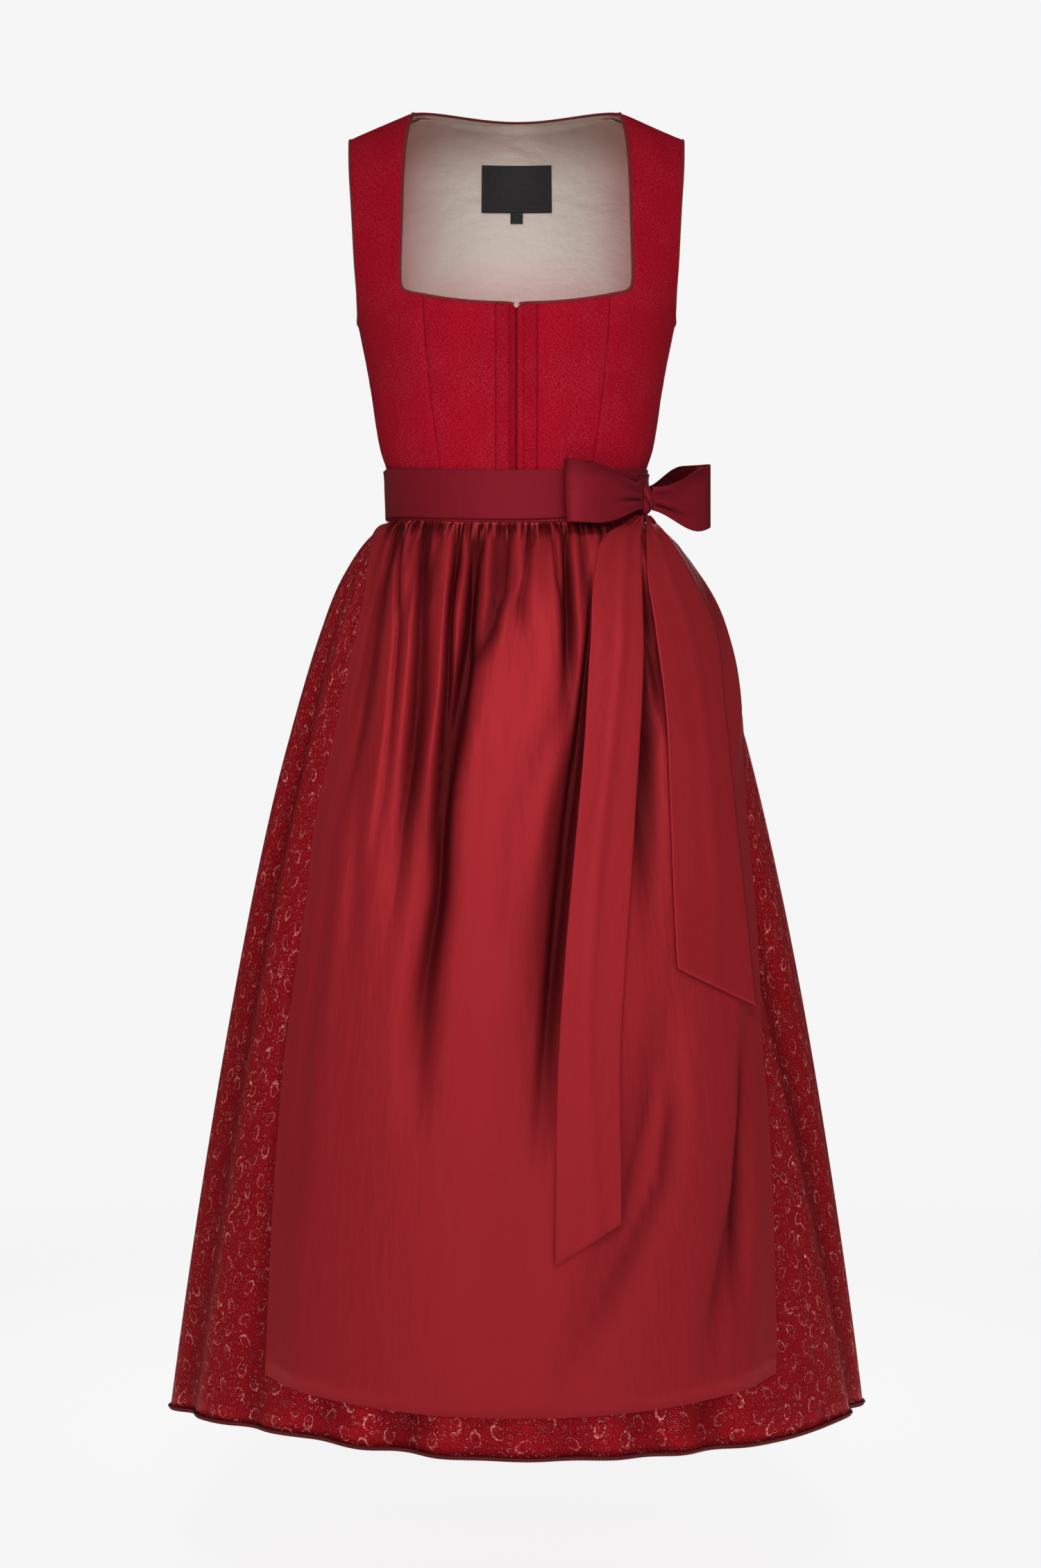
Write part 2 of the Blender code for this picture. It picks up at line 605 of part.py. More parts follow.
def skirt_panel(name, start, end, gathers, columns, finish, collection):
    """One length of the skirt. Its top rows hold every gather, the lower rows the long folds."""
    rows = [[hem_point(angle) for angle in panel_angles(start, end, HEM, columns)]]
    for height in (-1.150, -1.000, -0.850, -0.720, -0.610, -0.520):
        rows.append([skirt_out(angle, height, -skirt_fold(angle, height))
                     for angle in panel_angles(start, end, height, columns)])
    for height in (-0.460, -0.430, FLARE_TOP, WAIST_SEAM - 2 * SEAM_GAP):
        row = []
        for i, angle in enumerate(panel_angles(start, end, height, 2 * gathers + 1)):
            gathered = (i % 2) * uneven(i, 0.5) if 1 < i < 2 * gathers - 1 else 0.0
            inward = skirt_fold(angle, height) + read(SKIRT_GATHER, "depth", height) * gathered
            row.append(skirt_out(angle, height, -inward))
        rows.append(row)
    return cloth(name, rows, SKIRT_CLOTH, finish, collection)


def panel_angles(start, end, height, columns):
    """Angles across one skirt panel, kept off its seams by half a gap."""
    first = inset_angle(start, end, skirt_point, height, SEAM_GAP / 2)
    last = inset_angle(end, start, skirt_point, height, SEAM_GAP / 2)
    return spread(first, last, columns)


def hem_point(angle):
    """A point of the hem's edge."""
    height = HEM + read(HEM_LINE, "rise", (angle + 180) % 360 - 180)
    return skirt_out(angle, height, -skirt_fold(angle, height))


def apron_fold(across, height):
    """How far the apron lies in from its ridges, at a share across it and a height."""
    total = 0.0
    for fold in APRON_FOLDS:
        top, low = fold["height"]
        share = min(1.0, max(0.0, (top - height) / (top - low)))
        middle = fold["across"][0] + (fold["across"][1] - fold["across"][0]) * share
        grown = ease(top, top - APRON_FOLD_RUN, height)
        grown *= 1 - ease(low + APRON_FOLD_FADE[0], low + APRON_FOLD_FADE[1], height)
        total += long_fold(fold["depth"], across - middle, fold["half_width"]) * grown
    return no_more_than(APRON_FOLD_TOTAL, total)


def apron_lift(across, height, gathered):
    """How far the apron stands off the skirt: its long folds, and its gathers near the band."""
    raised = (APRON_FOLD_TOTAL - apron_fold(across, height)) * ease(*APRON_FREE, height)
    from_edge = ease(0.0, APRON_EDGE_RUN, min(across, 1 - across))
    raised *= APRON_EDGE_RAISED + (1 - APRON_EDGE_RAISED) * from_edge
    lift = APRON_LIFT + raised + read(APRON_GATHER, "depth", height) * gathered
    return BAND_LIFT + (lift - BAND_LIFT) * ease(FLARE_TOP, APRON_LEAVES_BAND, height)


def apron(finish, collection):
    """The apron's skirt, gathered into its band. Its lower rows hold the long folds."""
    rows = []
    lower = (APRON_HEM, -1.100, -0.960, -0.830, -0.710, -0.600, -0.510)
    upper = (-0.455, -0.428, FLARE_TOP, BAND_BOTTOM - SEAM_GAP)
    for height in lower + upper:
        columns = APRON_COLUMNS if height in lower else 2 * APRON_GATHERS + 1
        row = []
        for i, share in enumerate(spread(0.0, 1.0, columns)):
            gathered = (i % 2) * uneven(i, 0.4)
            rise = APRON_HEM_RISE * (2 * share - 1) ** 2 if height == APRON_HEM else 0.0
            row.append(apron_point(share, height + rise, gathered))
        rows.append(row)
    return cloth("apron", rows, SKIRT_CLOTH, finish, collection)


def apron_point(share, height, gathered):
    """A point of the apron, at a share across it."""
    start, end = (read(APRON_EDGES, edge, height) for edge in ("right_hand", "left_hand"))
    return skirt_out(start + (end - start) * share, height, apron_lift(share, height, gathered))


def knot_frame():
    """The knot's middle, and the level direction away from the body there."""
    stand_off = TIE_LIFT + BAND_CLOTH / 2 + SEAM_GAP + KNOT_HALF[1]
    middle = lifted(figure_point, KNOT_ANGLE, KNOT_HEIGHT, stand_off)
    out = middle - figure_point(KNOT_ANGLE, KNOT_HEIGHT)
    out.z = 0.0
    return middle, out.normalized()


def knot(finish, collection):
    """The bow's wrapped knot, an upright rounded lump against the tie."""
    middle, out = knot_frame()
    bpy.ops.mesh.primitive_uv_sphere_add(segments=12, ring_count=8, radius=1.0)
    thing = bpy.context.object
    thing.name = thing.data.name = "bow_knot"
    turn = math.atan2(out.y, out.x) + math.pi / 2
    for vertex in thing.data.vertices:
        x, y, z = (part * half for part, half in zip(vertex.co, KNOT_HALF))
        vertex.co = (x * math.cos(turn) - y * math.sin(turn), x * math.sin(turn) + y * math.cos(turn), z)
    thing.location = middle
    thing.data.shade_smooth()
    thing.data.materials.append(finish)
    for holder in list(thing.users_collection):
        holder.objects.unlink(thing)
    collection.objects.link(thing)
    return thing


def loop_gap(along, full):
    """Half the space between a loop's two layers, from the knot (0) to its end (1)."""
    opened = LOOP_PINCHED_GAP + (full - LOOP_PINCHED_GAP) * (1 - (1 - along) ** 2)
    return opened * math.sqrt(max(0.0, 1 - along**6))


def loop_half_height(along):
    return LOOP_PINCHED_HALF + (RIBBON_WIDTH / 2 - LOOP_PINCHED_HALF) * ease(0.0, LOOP_OPEN_BY, along)


def loop_turns():
    """Places along a loop, out on the layer away from the body and back on the other."""
    steps = 9
    out = [math.sin(math.pi / 2 * i / steps) for i in range(steps + 1)]
    return [(along, 1) for along in out] + [(along, -1) for along in out[-2::-1]]


def front_loop(finish, collection):
    """The bow's loop that lies over the front of the band, towards the wearer's right."""
    start, end = FRONT_LOOP_ANGLES
    rows = []
    for share in spread(-1.0, 1.0, 5):
        row = []
        for along, layer in loop_turns():
            stand_off = FRONT_LOOP_STAND + FRONT_LOOP_LIFT * along + loop_gap(along, FRONT_LOOP_GAP) * layer
            stand_off += FRONT_LOOP_LEAN * max(0.0, -share) * along
            height = KNOT_HEIGHT + FRONT_LOOP_RISE * along + loop_half_height(along) * share
            angle = start + (end - start) * along
            foot = lifted(figure_point, angle, KNOT_HEIGHT, stand_off)
            row.append(Vector((foot.x, foot.y, height)))
        rows.append(row)
    return cloth("bow_loop_front", rows, BAND_CLOTH, finish, collection)


def side_loop(finish, collection):
    """The bow's loop that stands out past the wearer's left side."""
    middle, _ = knot_frame()
    onward = Vector((*SIDE_LOOP_WAY, 0.0)).normalized()
    aside = Vector((onward.y, -onward.x, 0.0))
    rows = []
    for share in spread(-1.0, 1.0, 5):
        row = []
        for along, layer in loop_turns():
            gap = loop_gap(along, SIDE_LOOP_GAP) * layer + SIDE_LOOP_LEAN * along
            point = middle + onward * (SIDE_LOOP_START + SIDE_LOOP_REACH * along) + aside * gap
            sag = SIDE_LOOP_SAG * math.sin(math.pi * along) * (1 + layer) / 2
            point.z = KNOT_HEIGHT + SIDE_LOOP_RISE * along - sag + loop_half_height(along) * share
            row.append(point)
        rows.append(row)
    return cloth("bow_loop_side", rows, BAND_CLOTH, finish, collection)


def bow_end(name, table, cut, finish, collection):
    """One hanging end of the tie, from under the knot to its slanting cut."""
    top = table["height"][-1]
    rows = []
    for v in spread(1.0, 0.0, 17):
        row = []
        for u in spread(0.0, 1.0, 5):
            height = top + (cut[0] + (cut[1] - cut[0]) * u - top) * v**1.25
            right, left = (read(table, edge, height) for edge in ("right_edge", "left_edge"))
            angle = angle_at(right + (left - right) * u, skirt_half_width(height))
            row.append(skirt_out(angle, height, read(table, "lift", height)))
        rows.append(row)
    return cloth(name, rows, BAND_CLOTH, finish, collection)


def beside_edge(points, inside):
    """Points moved off an edge, away from the cloth, by the cord's radius and a gap."""
    moved = []
    for i, point in enumerate(points):
        along = (points[(i + 1) % len(points)] - points[i - 1]).normalized()
        off = point - inside[i]
        off -= along * off.dot(along)
        moved.append(point + off.normalized() * (TRIM_RADIUS + TRIM_GAP))
    return moved


def neck_places():
    """The neckline from the centre front round to the centre back, and points inside its edge."""
    edge = []
    for across in (0.0035, 0.009, 0.023, 0.040, 0.060, 0.078, 0.0915, 0.098):
        height = neck_front_height(across)
        angle = figure_angle(across, height)
        edge.append(((angle, height), (angle, height - 0.004)))
    for height in CORNER_ROWS[2:] + STRAP_ROWS:
        angle = figure_angle(read(STRAP_INNER, "across", height), height)
        edge.append(((angle, height), (angle + 1, height)))
    outer = armhole_angle(SHOULDER_EDGE, True)
    shares = [share for share in back_shares() if share >= 0][len(BACK_NECK) - 1::-1]
    for share in shares:
        edge.append((back_place(share, SHOULDER_EDGE, outer),
                     back_place(share, STRAP_ROWS[-2], back_outer_angle(STRAP_ROWS[-2]))))
    return edge


def neck_trim(finish, collection):
    """The cord round the whole neckline, with its two ends at the front notch."""
    half = neck_places()
    mirrored = [tuple((-angle, height) for angle, height in pair) for pair in half[:-1]]
    places = half + mirrored[::-1]
    points = [figure_point(*place) for place, _ in places]
    inside = [figure_point(*place) for _, place in places]
    return cord("neck_trim", beside_edge(points, inside), False, finish, collection)


def armhole_trim(side, finish, collection):
    """The cord round one armhole."""
    places = []
    for height in (CORNER_ROWS + STRAP_ROWS)[::-1]:
        angle = armhole_angle(height, False)
        places.append(((side * angle, height), (side * (angle - 1), height - 0.001)))
    places.append(((side * 90.0, ARMPIT), (side * 90.0, ARMPIT - 0.01)))
    for height in BACK_ROWS + (BACK_SEAM_TOP,) + STRAP_ROWS[:-1]:
        angle = armhole_angle(height, True)
        places.append(((side * angle, height), (side * (angle + 1), height - 0.001)))
    points = [figure_point(*place) for place, _ in places]
    inside = [figure_point(*place) for _, place in places]
    name = "armhole_trim_left" if side > 0 else "armhole_trim_right"
    return cord(name, beside_edge(points, inside), True, finish, collection)


def hem_trim(skirt_lengths, finish, collection):
    """The cord under the skirt's hem, which follows its folds."""
    below = Vector((0, 0, TRIM_RADIUS + 2 * SEAM_GAP))
    points = []
    for start, end, columns in skirt_lengths:
        points += [hem_point(angle) - below for angle in panel_angles(start, end, HEM, columns)[:-1]]
    return cord("hem_trim", points, True, finish, collection, 0)


def build():
    clear_scene()
    dress = bpy.data.collections.new("dirndl")
    bpy.context.scene.collection.children.link(dress)
    wool = material("bodice_wool", (0.52, 0.010, 0.028), 0.85)
    jacquard = material("skirt_jacquard", (0.34, 0.010, 0.022), 0.55)
    satin = material("apron_satin", (0.36, 0.018, 0.022), 0.38)
    lining = material("lining_satin", (0.62, 0.53, 0.46), 0.45)
    trim = material("edge_cord", (0.15, 0.008, 0.014), 0.60)
    woven = material("label_black", (0.012, 0.012, 0.013), 0.70)

    for side in (1, -1):
        front_centre(side, wool, dress)
        side_front(side, wool, dress)
        side_back(side, wool, dress)
        armhole_trim(side, trim, dress)
    centre_back(wool, dress)
    back_lining(lining, dress)
    label("label", LABEL_WIDTH / 2, LABEL_TOP, LABEL_BOTTOM, woven, dress)
    tab_top = LABEL_BOTTOM - SEAM_GAP
    label("size_tab", TAB_WIDTH / 2, tab_top, tab_top - TAB_LENGTH, woven, dress)
    neck_trim(trim, dress)

    front = (-SKIRT_FRONT_EDGE, SKIRT_FRONT_EDGE, FRONT_COLUMNS)
    back_left = (SKIRT_FRONT_EDGE, 180.0, BACK_COLUMNS)
    back_right = (180.0, 360.0 - SKIRT_FRONT_EDGE, BACK_COLUMNS)
    skirt_panel("skirt_front", front[0], front[1], FRONT_GATHERS, FRONT_COLUMNS, jacquard, dress)
    skirt_panel("skirt_back_left", *back_left[:2], BACK_GATHERS, BACK_COLUMNS, jacquard, dress)
    skirt_panel("skirt_back_right", *back_right[:2], BACK_GATHERS, BACK_COLUMNS, jacquard, dress)
    hem_trim((front, back_left, back_right), trim, dress)

    apron(satin, dress)
    band_angles = [BAND_STEP * i for i in range(-11, 12)]
    ring_strip("apron_band", band_angles, (BAND_BOTTOM, WAIST_SEAM, BAND_TOP), BAND_LIFT, satin, dress)
    tie_angles = [KNOT_ANGLE + BAND_STEP * i for i in range(45)] + [KNOT_ANGLE + 360 - TIE_JOIN]
    ring_strip("tie_wrap", tie_angles, (TIE_BOTTOM, WAIST_SEAM, TIE_TOP), TIE_LIFT, satin, dress)
    knot(satin, dress)
    front_loop(satin, dress)
    side_loop(satin, dress)
    bow_end("bow_end_long", LONG_END, LONG_END_CUT, satin, dress)
    bow_end("bow_end_short", SHORT_END, SHORT_END_CUT, satin, dress)


build()
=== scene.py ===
# The looks of a sleeveless dirndl in its worn shape: a red wool bodice edged with twisted cord, a
# gathered jacquard skirt, and a satin apron whose tie is knotted in a bow at the side.
# Metres, +Z up. The origin lies on the shoulder line. The front faces -Y, the wearer's left is +X.
# Angles are in degrees round the body: 0 is the centre front and 90 the wearer's left side.
import math

import bpy
import numpy as np
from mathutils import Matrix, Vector


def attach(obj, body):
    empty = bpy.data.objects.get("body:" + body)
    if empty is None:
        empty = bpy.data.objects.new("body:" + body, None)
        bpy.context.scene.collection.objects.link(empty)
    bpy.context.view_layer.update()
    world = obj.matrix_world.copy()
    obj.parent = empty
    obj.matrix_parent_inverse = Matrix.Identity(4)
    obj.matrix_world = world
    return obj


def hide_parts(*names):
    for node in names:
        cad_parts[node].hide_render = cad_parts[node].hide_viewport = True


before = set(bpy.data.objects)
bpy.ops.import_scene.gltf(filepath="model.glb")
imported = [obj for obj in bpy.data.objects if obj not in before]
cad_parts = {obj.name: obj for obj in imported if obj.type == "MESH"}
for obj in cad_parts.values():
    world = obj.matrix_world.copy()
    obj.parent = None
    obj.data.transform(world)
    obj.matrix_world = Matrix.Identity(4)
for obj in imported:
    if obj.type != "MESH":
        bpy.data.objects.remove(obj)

bl_info = {
    "name": "Dirndl",
    "version": (1, 0, 0),
    "blender": (4, 5, 0),
    "location": "3D View > Sidebar > Dirndl",
    "description": "Makes the cloth, cords, bow and stitching of a gathered dress with an apron",
    "category": "Object",
}

BODY = "root"

# Cloths and gaps. The wool's sewn edges just overlap.
BODICE_CLOTH, SKIRT_CLOTH, BAND_CLOTH, LINING_CLOTH = 0.0015, 0.0010, 0.0012, 0.0010
SEAM_GAP, WOOL_GAP = 0.0003, -0.0001

# Heights from the shoulder line
HEM, APRON_HEM, APRON_HEM_RISE = -1.295, -1.257, 0.025
WAIST_SEAM, BAND_TOP, BAND_BOTTOM, FLARE_TOP = -0.384, -0.359, -0.411, -0.414
ARMPIT, BACK_SEAM_TOP, SIDE_BACK_TOP = -0.213, -0.130, -0.1304
LINING_TOP, SHOULDER_EDGE = -0.002, -0.000002

# The waist hangs lower at the front, fading out above and below it
WAIST_DIP, DIP_TOP, DIP_FADE = 0.008, -0.270, (-0.430, -0.750)

# The skirt's half widths and half depths, from the band down to the hem
WAIST_HALF_WIDTH, HEM_HALF_WIDTH = 0.128, 0.3495
WAIST_FRONT, HEM_FRONT, FRONT_DEPTH_POWER = 0.0925, 0.272, 1.10
WAIST_BACK, HEM_BACK, BACK_DEPTH_POWER = 0.0960, 0.275, 0.95
FLARE_POWER, FLARE_START = 0.50, 0.002

# Neck and shoulders
NECK_HALF_WIDTH, NECK_CORNER = 0.1046, 0.1115
NECK_FRONT_LOW, NECK_FRONT_RISE, NECK_FRONT_POWER = -0.2095, 0.017, 2.2
NECK_BACK_RISE, NECK_BACK_FADE = 0.009, -0.07
NOTCH_HALF_WIDTH, NOTCH_DEPTH = 0.005, 0.004
SHOULDER_SLOPE, SQUARENESS = 0.42, 2.1
SLOPE_TURN, SLOPE_RISE = 0.5, 0.0004

# The wool's sewn edges, and the placket by its distance from the centre front
SEAM_ROLL, SEAM_HALF_WIDTH, PUCKER, PUCKER_LENGTH = 0.0012, 0.0012, 0.00022, 0.007
EDGE_CALM, ARMPIT_FADE = 0.01, 0.004
PLACKET_STARTS, PLACKET_ENDS, PLACKET_GROOVES = (0.0060, 0.0080), (0.0188, 0.0206), (0.0068, 0.0203)
PLACKET_STITCHES, BAND_STITCHES, STITCH_GAP, STITCH_HALF = (0.0068, 0.0200), (0.0011, 0.0042), 0.0008, 0.00024

# Cords: their distance off an edge, the spacing of their path, and points to a turn
TRIM_REACH, TRIM_STEP, CORD_STEPS, PLY_APART = 0.0010, 0.0015, 6, 0.92
LOW_HEM_CORD, HIGH_HEM_CORD = (-0.0003, -0.0013, 0.80), (0.0011, 0.0006, 0.75)

# The bow
RIBBON_WIDTH, KNOT_ANGLE, KNOT_HEIGHT, KNOT_HALF = 0.063, 64.0, -0.391, (0.0085, 0.0085, 0.0150)
LOOP_PINCHED_HALF, LOOP_PINCHED_GAP, LOOP_OPEN_BY = 0.0120, 0.0030, 0.75
FRONT_LOOP_ANGLES = (KNOT_ANGLE - 4.3, 18.5)
FRONT_LOOP_GAP, FRONT_LOOP_RISE, FRONT_LOOP_LEAN, FRONT_LOOP_SAG = 0.0110, 0.0020, 0.0080, 0.0050
FRONT_LOOP_STAND, FRONT_LOOP_LIFT, FRONT_LOOP_SEED = 0.0145, 0.0055, 0.7
SIDE_LOOP_WAY, SIDE_LOOP_START, SIDE_LOOP_REACH, SIDE_LOOP_SEED = (0.69, 0.72), 0.0084, 0.0830, 1.9
SIDE_LOOP_GAP, SIDE_LOOP_RISE, SIDE_LOOP_SAG, SIDE_LOOP_LEAN = 0.0150, 0.0085, 0.0060, 0.0040
SIDE_LOOP_TUCK = 0.0075

# Labels
LABEL_WIDTH, LABEL_TOP, LABEL_BOTTOM = 0.0745, -0.032, -0.080
TAB_WIDTH, TAB_LENGTH = 0.013, 0.011

# Distances out from the bodice's cloth
BAND_LIFT, TIE_LIFT, LINING_GAP = 0.0020, 0.0036, 0.0015
LINING_LIFT = -(BODICE_CLOTH + LINING_CLOTH) / 2 - LINING_GAP
LABEL_LIFT = LINING_LIFT - LINING_CLOTH - LINING_GAP
TIE_BOTTOM, TIE_TOP, TIE_JOIN, BAND_REACH = -0.4085, -0.3600, 0.2, 88.0
BAND_ROWS = (0.0, 0.015, 0.03, 0.045, 0.06, 0.09, 0.13, 0.2, 0.35, 0.5, 0.65, 0.8, 0.9, 0.97, 1.0)

# The apron off the skirt, and the most that folds take in
APRON_LIFT, APRON_FOLD_TOTAL, APRON_LEAVES_BAND, APRON_SOFTNESS = 0.0022, 0.014, -0.416, 0.0008
APRON_EDGE_RAISED, APRON_EDGE_RUN, APRON_FOLD_RUN = 0.15, 0.10, 0.06
APRON_FOLD_FADE, APRON_FREE = (0.10, -0.02), (-0.415, -0.520)
APRON_SINK, SINK_STARTS, SINK_ENDS = 0.0065, (-0.425, -0.520), (-1.050, -1.200)
SKIRT_FOLD_TOTAL, SKIRT_FOLD_RUN = 0.020, 0.27

# Gathers: spacing, shortest and longest run, share of the full depth, and seed
SKIRT_FRONT_EDGE, FRONT_GATHERS, BACK_GATHERS = 58.0, 20, 28
APRON_REACH = (-0.20, 0.30)
APRON_GATHERS = ((0.0078, 0.010, 0.060, 1, 61), (0.0155, 0.060, 0.240, 1, 64),
                 (0.0044, 0.005, 0.026, 0.75, 67))

# Where pink bounce light from the wool is painted on the lining: up from the waist, and out from the centre
# back
LINING_PAINTED_BOUNCE = (0.150, 0.285, 0.060, 0.150)

# The stage. Each light: place, height that it faces, width, height, watts and spread in degrees.
FLOOR, FLOOR_RADIUS, FLOOR_FADE, FLOOR_GLOW, WORLD_LIGHT = -1.46, 3.0, 0.55, 0.835, 0.11
CAMERA_LENS, CAMERA_PLACE = 70.54, (0.004, -3.1, -0.675)
LIGHTS = {
    "key_light": ((-0.8, -3.3, -0.1), -0.46, 1.7, 2.0, 5.4, 70),
    "front_light": ((1.0, -3.3, -0.3), -0.54, 1.7, 2.0, 4.2, 70),
    "apron_light": ((0.1, -2.6, 1.3), -0.60, 0.9, 0.5, 1.3, 26),
    "top_light": ((0.0, -0.6, 2.0), -0.6, 2.0, 1.2, 2, 180),
    "left_light": ((-2.4, 1.6, -0.2), -0.7, 1.0, 2.2, 1.1, 180),
    "right_light": ((2.2, 2.0, 0.2), -0.7, 1.0, 2.2, 1.1, 180),
    "back_light": ((0.4, 3.3, 0.2), -0.6, 1.7, 2.0, 5.0, 60),
}

# The general figure that the bodice is cut for
FIGURE = dict(
    height=(-0.42, -0.385, -0.359, -0.34, -0.318, -0.29, -0.262, -0.234, -0.213, -0.185,
            -0.157, -0.12, -0.08, -0.05, -0.025, -0.01, -0.003, -0.0008, -0.0002, 0),
    half_width=(0.1278, 0.1287, 0.1303, 0.1362, 0.1405, 0.1445, 0.149, 0.1545, 0.159, 0.169,
                0.18, 0.193, 0.199, 0.199, 0.197, 0.195, 0.194, 0.194, 0.194, 0.194),
    front=(0.092, 0.0925, 0.0935, 0.0985, 0.103, 0.108, 0.114, 0.119, 0.1215, 0.119,
           0.111, 0.096, 0.08, 0.066, 0.049, 0.033, 0.019, 0.01, 0.005, 0),
    back=(0.096, 0.096, 0.0965, 0.1, 0.103, 0.106, 0.108, 0.1085, 0.108, 0.107,
          0.105, 0.101, 0.093, 0.079, 0.058, 0.038, 0.021, 0.011, 0.0055, 0),
    spine=(0.096, 0.096, 0.0965, 0.1, 0.103, 0.106, 0.108, 0.1085, 0.1085, 0.108,
           0.107, 0.106, 0.104, 0.099, 0.093, 0.089, 0.087, 0.086, 0.086, 0.086),
)

# Where the cut edges of the bodice lie, as distances from the centre
ARMHOLE = dict(height=(-0.213, -0.206, -0.19, -0.157, -0.12, -0.08, -0.04, 0),
               across=(0.159, 0.1575, 0.1575, 0.159, 0.1605, 0.1625, 0.165, 0.1665))
STRAP_INNER = dict(height=(-0.195, -0.1915, -0.187, -0.177, -0.123, -0.069, -0.026, 0),
                   across=(0.106, 0.112, 0.1143, 0.115, 0.114, 0.113, 0.11, 0.1046))
FRONT_SEAM = dict(height=(-0.384, -0.36, -0.3, -0.25, -0.2), across=(0.075, 0.076, 0.084, 0.0895, 0.092))
BACK_SEAM = dict(height=(-0.384, -0.36, -0.3, -0.25, -0.2, -0.16, -0.13),
                 across=(0.048, 0.05, 0.06, 0.075, 0.1, 0.13, 0.159))

# How far the hem lies above its mean height, by the angle round the skirt
HEM_LINE = dict(angle=(-180, -130, -90, -60, -40, -20, 0, 25, 45, 65, 90, 135, 180),
                rise=(0, 0.003, 0.001, 0.01, 0.011, 0.003, -0.003, -0.002, 0.001, 0.006, 0.001, 0.003, 0))

# The apron's two side edges, as angles
APRON_EDGES = dict(
    height=(-1.257, -1.198, -1.12, -1.045, -0.995, -0.92, -0.854, -0.79, -0.752, -0.713,
            -0.647, -0.595, -0.546, -0.479, -0.447, -0.425, -0.41),
    right_hand=(-42, -42.9, -44.2, -45.4, -46.1, -46.9, -46.9, -47.1, -47.8, -48.7,
                -47.9, -47.6, -47.8, -50.5, -57, -68, -80),
    left_hand=(43.6, 45.5, 47.4, 49.3, 50.5, 51.9, 54.5, 57.4, 58.8, 60.5, 67.5, 78, 84, 87, 88, 88, 88),
)

# The apron's long folds: places across it from 0 at its right-hand edge to 1, at the fold's top and
# bottom, then its heights there, its half width and its depth
APRON_FOLDS = (
    (0.07, 0.07, -0.44, -1.1, 0.028, 0.01), (0.1, 0.15, -0.43, -0.88, 0.024, 0.006),
    (0.19, 0.23, -0.42, -0.84, 0.028, 0.009), (0.27, 0.31, -0.42, -1, 0.027, 0.017),
    (0.36, 0.37, -0.42, -0.64, 0.028, 0.006), (0.48, 0.46, -0.86, -1.25, 0.04, 0.007),
    (0.5, 0.44, -0.42, -0.88, 0.035, 0.009), (0.55, 0.51, -0.42, -1.04, 0.027, 0.018),
    (0.66, 0.64, -0.42, -0.82, 0.03, 0.013), (0.76, 0.61, -0.86, -1.13, 0.028, 0.007),
    (0.78, 0.55, -0.88, -1.25, 0.035, 0.011), (0.91, 0.82, -0.98, -1.25, 0.03, 0.007),
    (0.95, 0.89, -0.86, -1.2, 0.024, 0.011),
)

# The apron's sharper valleys: their heights, their distances from the centre there, their half widths
# towards the right hand and the left hand, and their depth
APRON_CREASES = (
    ((-0.79, -0.776, -0.68, -0.57, -0.514, -0.456, -0.412),
     (-0.084, -0.0835, -0.0747, -0.067, -0.0646, -0.0609, -0.059), (0.0022, 0.0045), 0.013),
    ((-1.01, -0.95, -0.863, -0.776, -0.687, -0.559, -0.514, -0.442, -0.412),
     (-0.097, -0.0904, -0.0865, -0.073, -0.0685, -0.0516, -0.0463, -0.0411, -0.038),
     (0.004, 0.0065), 0.013),
    ((-1.079, -0.993, -0.863, -0.776, -0.68, -0.64, -0.582, -0.534, -0.494, -0.425),
     (0.0104, 0.0214, 0.0326, 0.0417, 0.0537, 0.0594, 0.0653, 0.0698, 0.0729, 0.077),
     (0.0035, 0.006), 0.013),
    ((-0.62, -0.537, -0.514, -0.439, -0.412), (0.046, 0.0473, 0.0488, 0.0479, 0.047),
     (0.0022, 0.0045), 0.009),
    ((-0.62, -0.559, -0.525, -0.486, -0.442, -0.412), (-0.06, -0.0433, -0.0239, -0.0128, -0.01, -0.008),
     (0.0075, 0.0035), 0.007),
    ((-0.54, -0.491, -0.465, -0.412), (0.002, 0.0041, 0.0097, 0.0126), (0.002, 0.003), 0.0055),
    ((-0.56, -0.494, -0.468, -0.412), (0.044, 0.0433, 0.0392, 0.034), (0.0016, 0.0034), 0.0055),
    ((-0.82, -0.68, -0.542, -0.485, -0.412), (-0.116, -0.104, -0.094, -0.0923, -0.095),
     (0.003, 0.009), 0.011),
    ((-0.97, -0.797, -0.642, -0.56), (-0.004, 0.0239, 0.0533, 0.056), (0.01, 0.01), 0.0055),
    ((-0.8, -0.687, -0.624, -0.517, -0.412), (-0.1459, -0.1262, -0.1204, -0.1127, -0.1182),
     (0.0019, 0.0042), 0.005),
    ((-0.8, -0.721, -0.516, -0.412), (0.1047, 0.1044, 0.1242, 0.103), (0.003, 0.0053), 0.006),
    ((-0.86, -0.7, -0.6, -0.52, -0.44), (0.124, 0.1215, 0.1225, 0.119, 0.117), (0.006, 0.008), 0.012),
    ((-1.235, -1.161, -1.041, -0.93), (0.0393, 0.0789, 0.1362, 0.1543), (0.0046, 0.0114), 0.0052),
    ((-1.18, -1.049, -0.9), (0.2011, 0.2084, 0.2136), (0.0027, 0.0049), 0.0065),
    ((-1.13, -1.076, -0.93), (0.0649, 0.0974, 0.134), (0.0027, 0.0061), 0.003),
    ((-1.21, -1.045), (0.1716, 0.2071), (0.003, 0.0076), 0.004),
    ((-0.78, -0.412), (-0.1709, -0.1196), (0.0038, 0.0068), 0.0045),
    ((-0.66, -0.412), (-0.1712, -0.1198), (0.0027, 0.0046), 0.004),
    ((-0.72, -0.412), (-0.0547, -0.0383), (0.0034, 0.0023), 0.004),
    ((-0.7, -0.412), (0.1585, 0.1109), (0.003, 0.0053), 0.005),
    ((-0.62, -0.412), (0.1968, 0.1378), (0.0027, 0.0046), 0.0045),
)

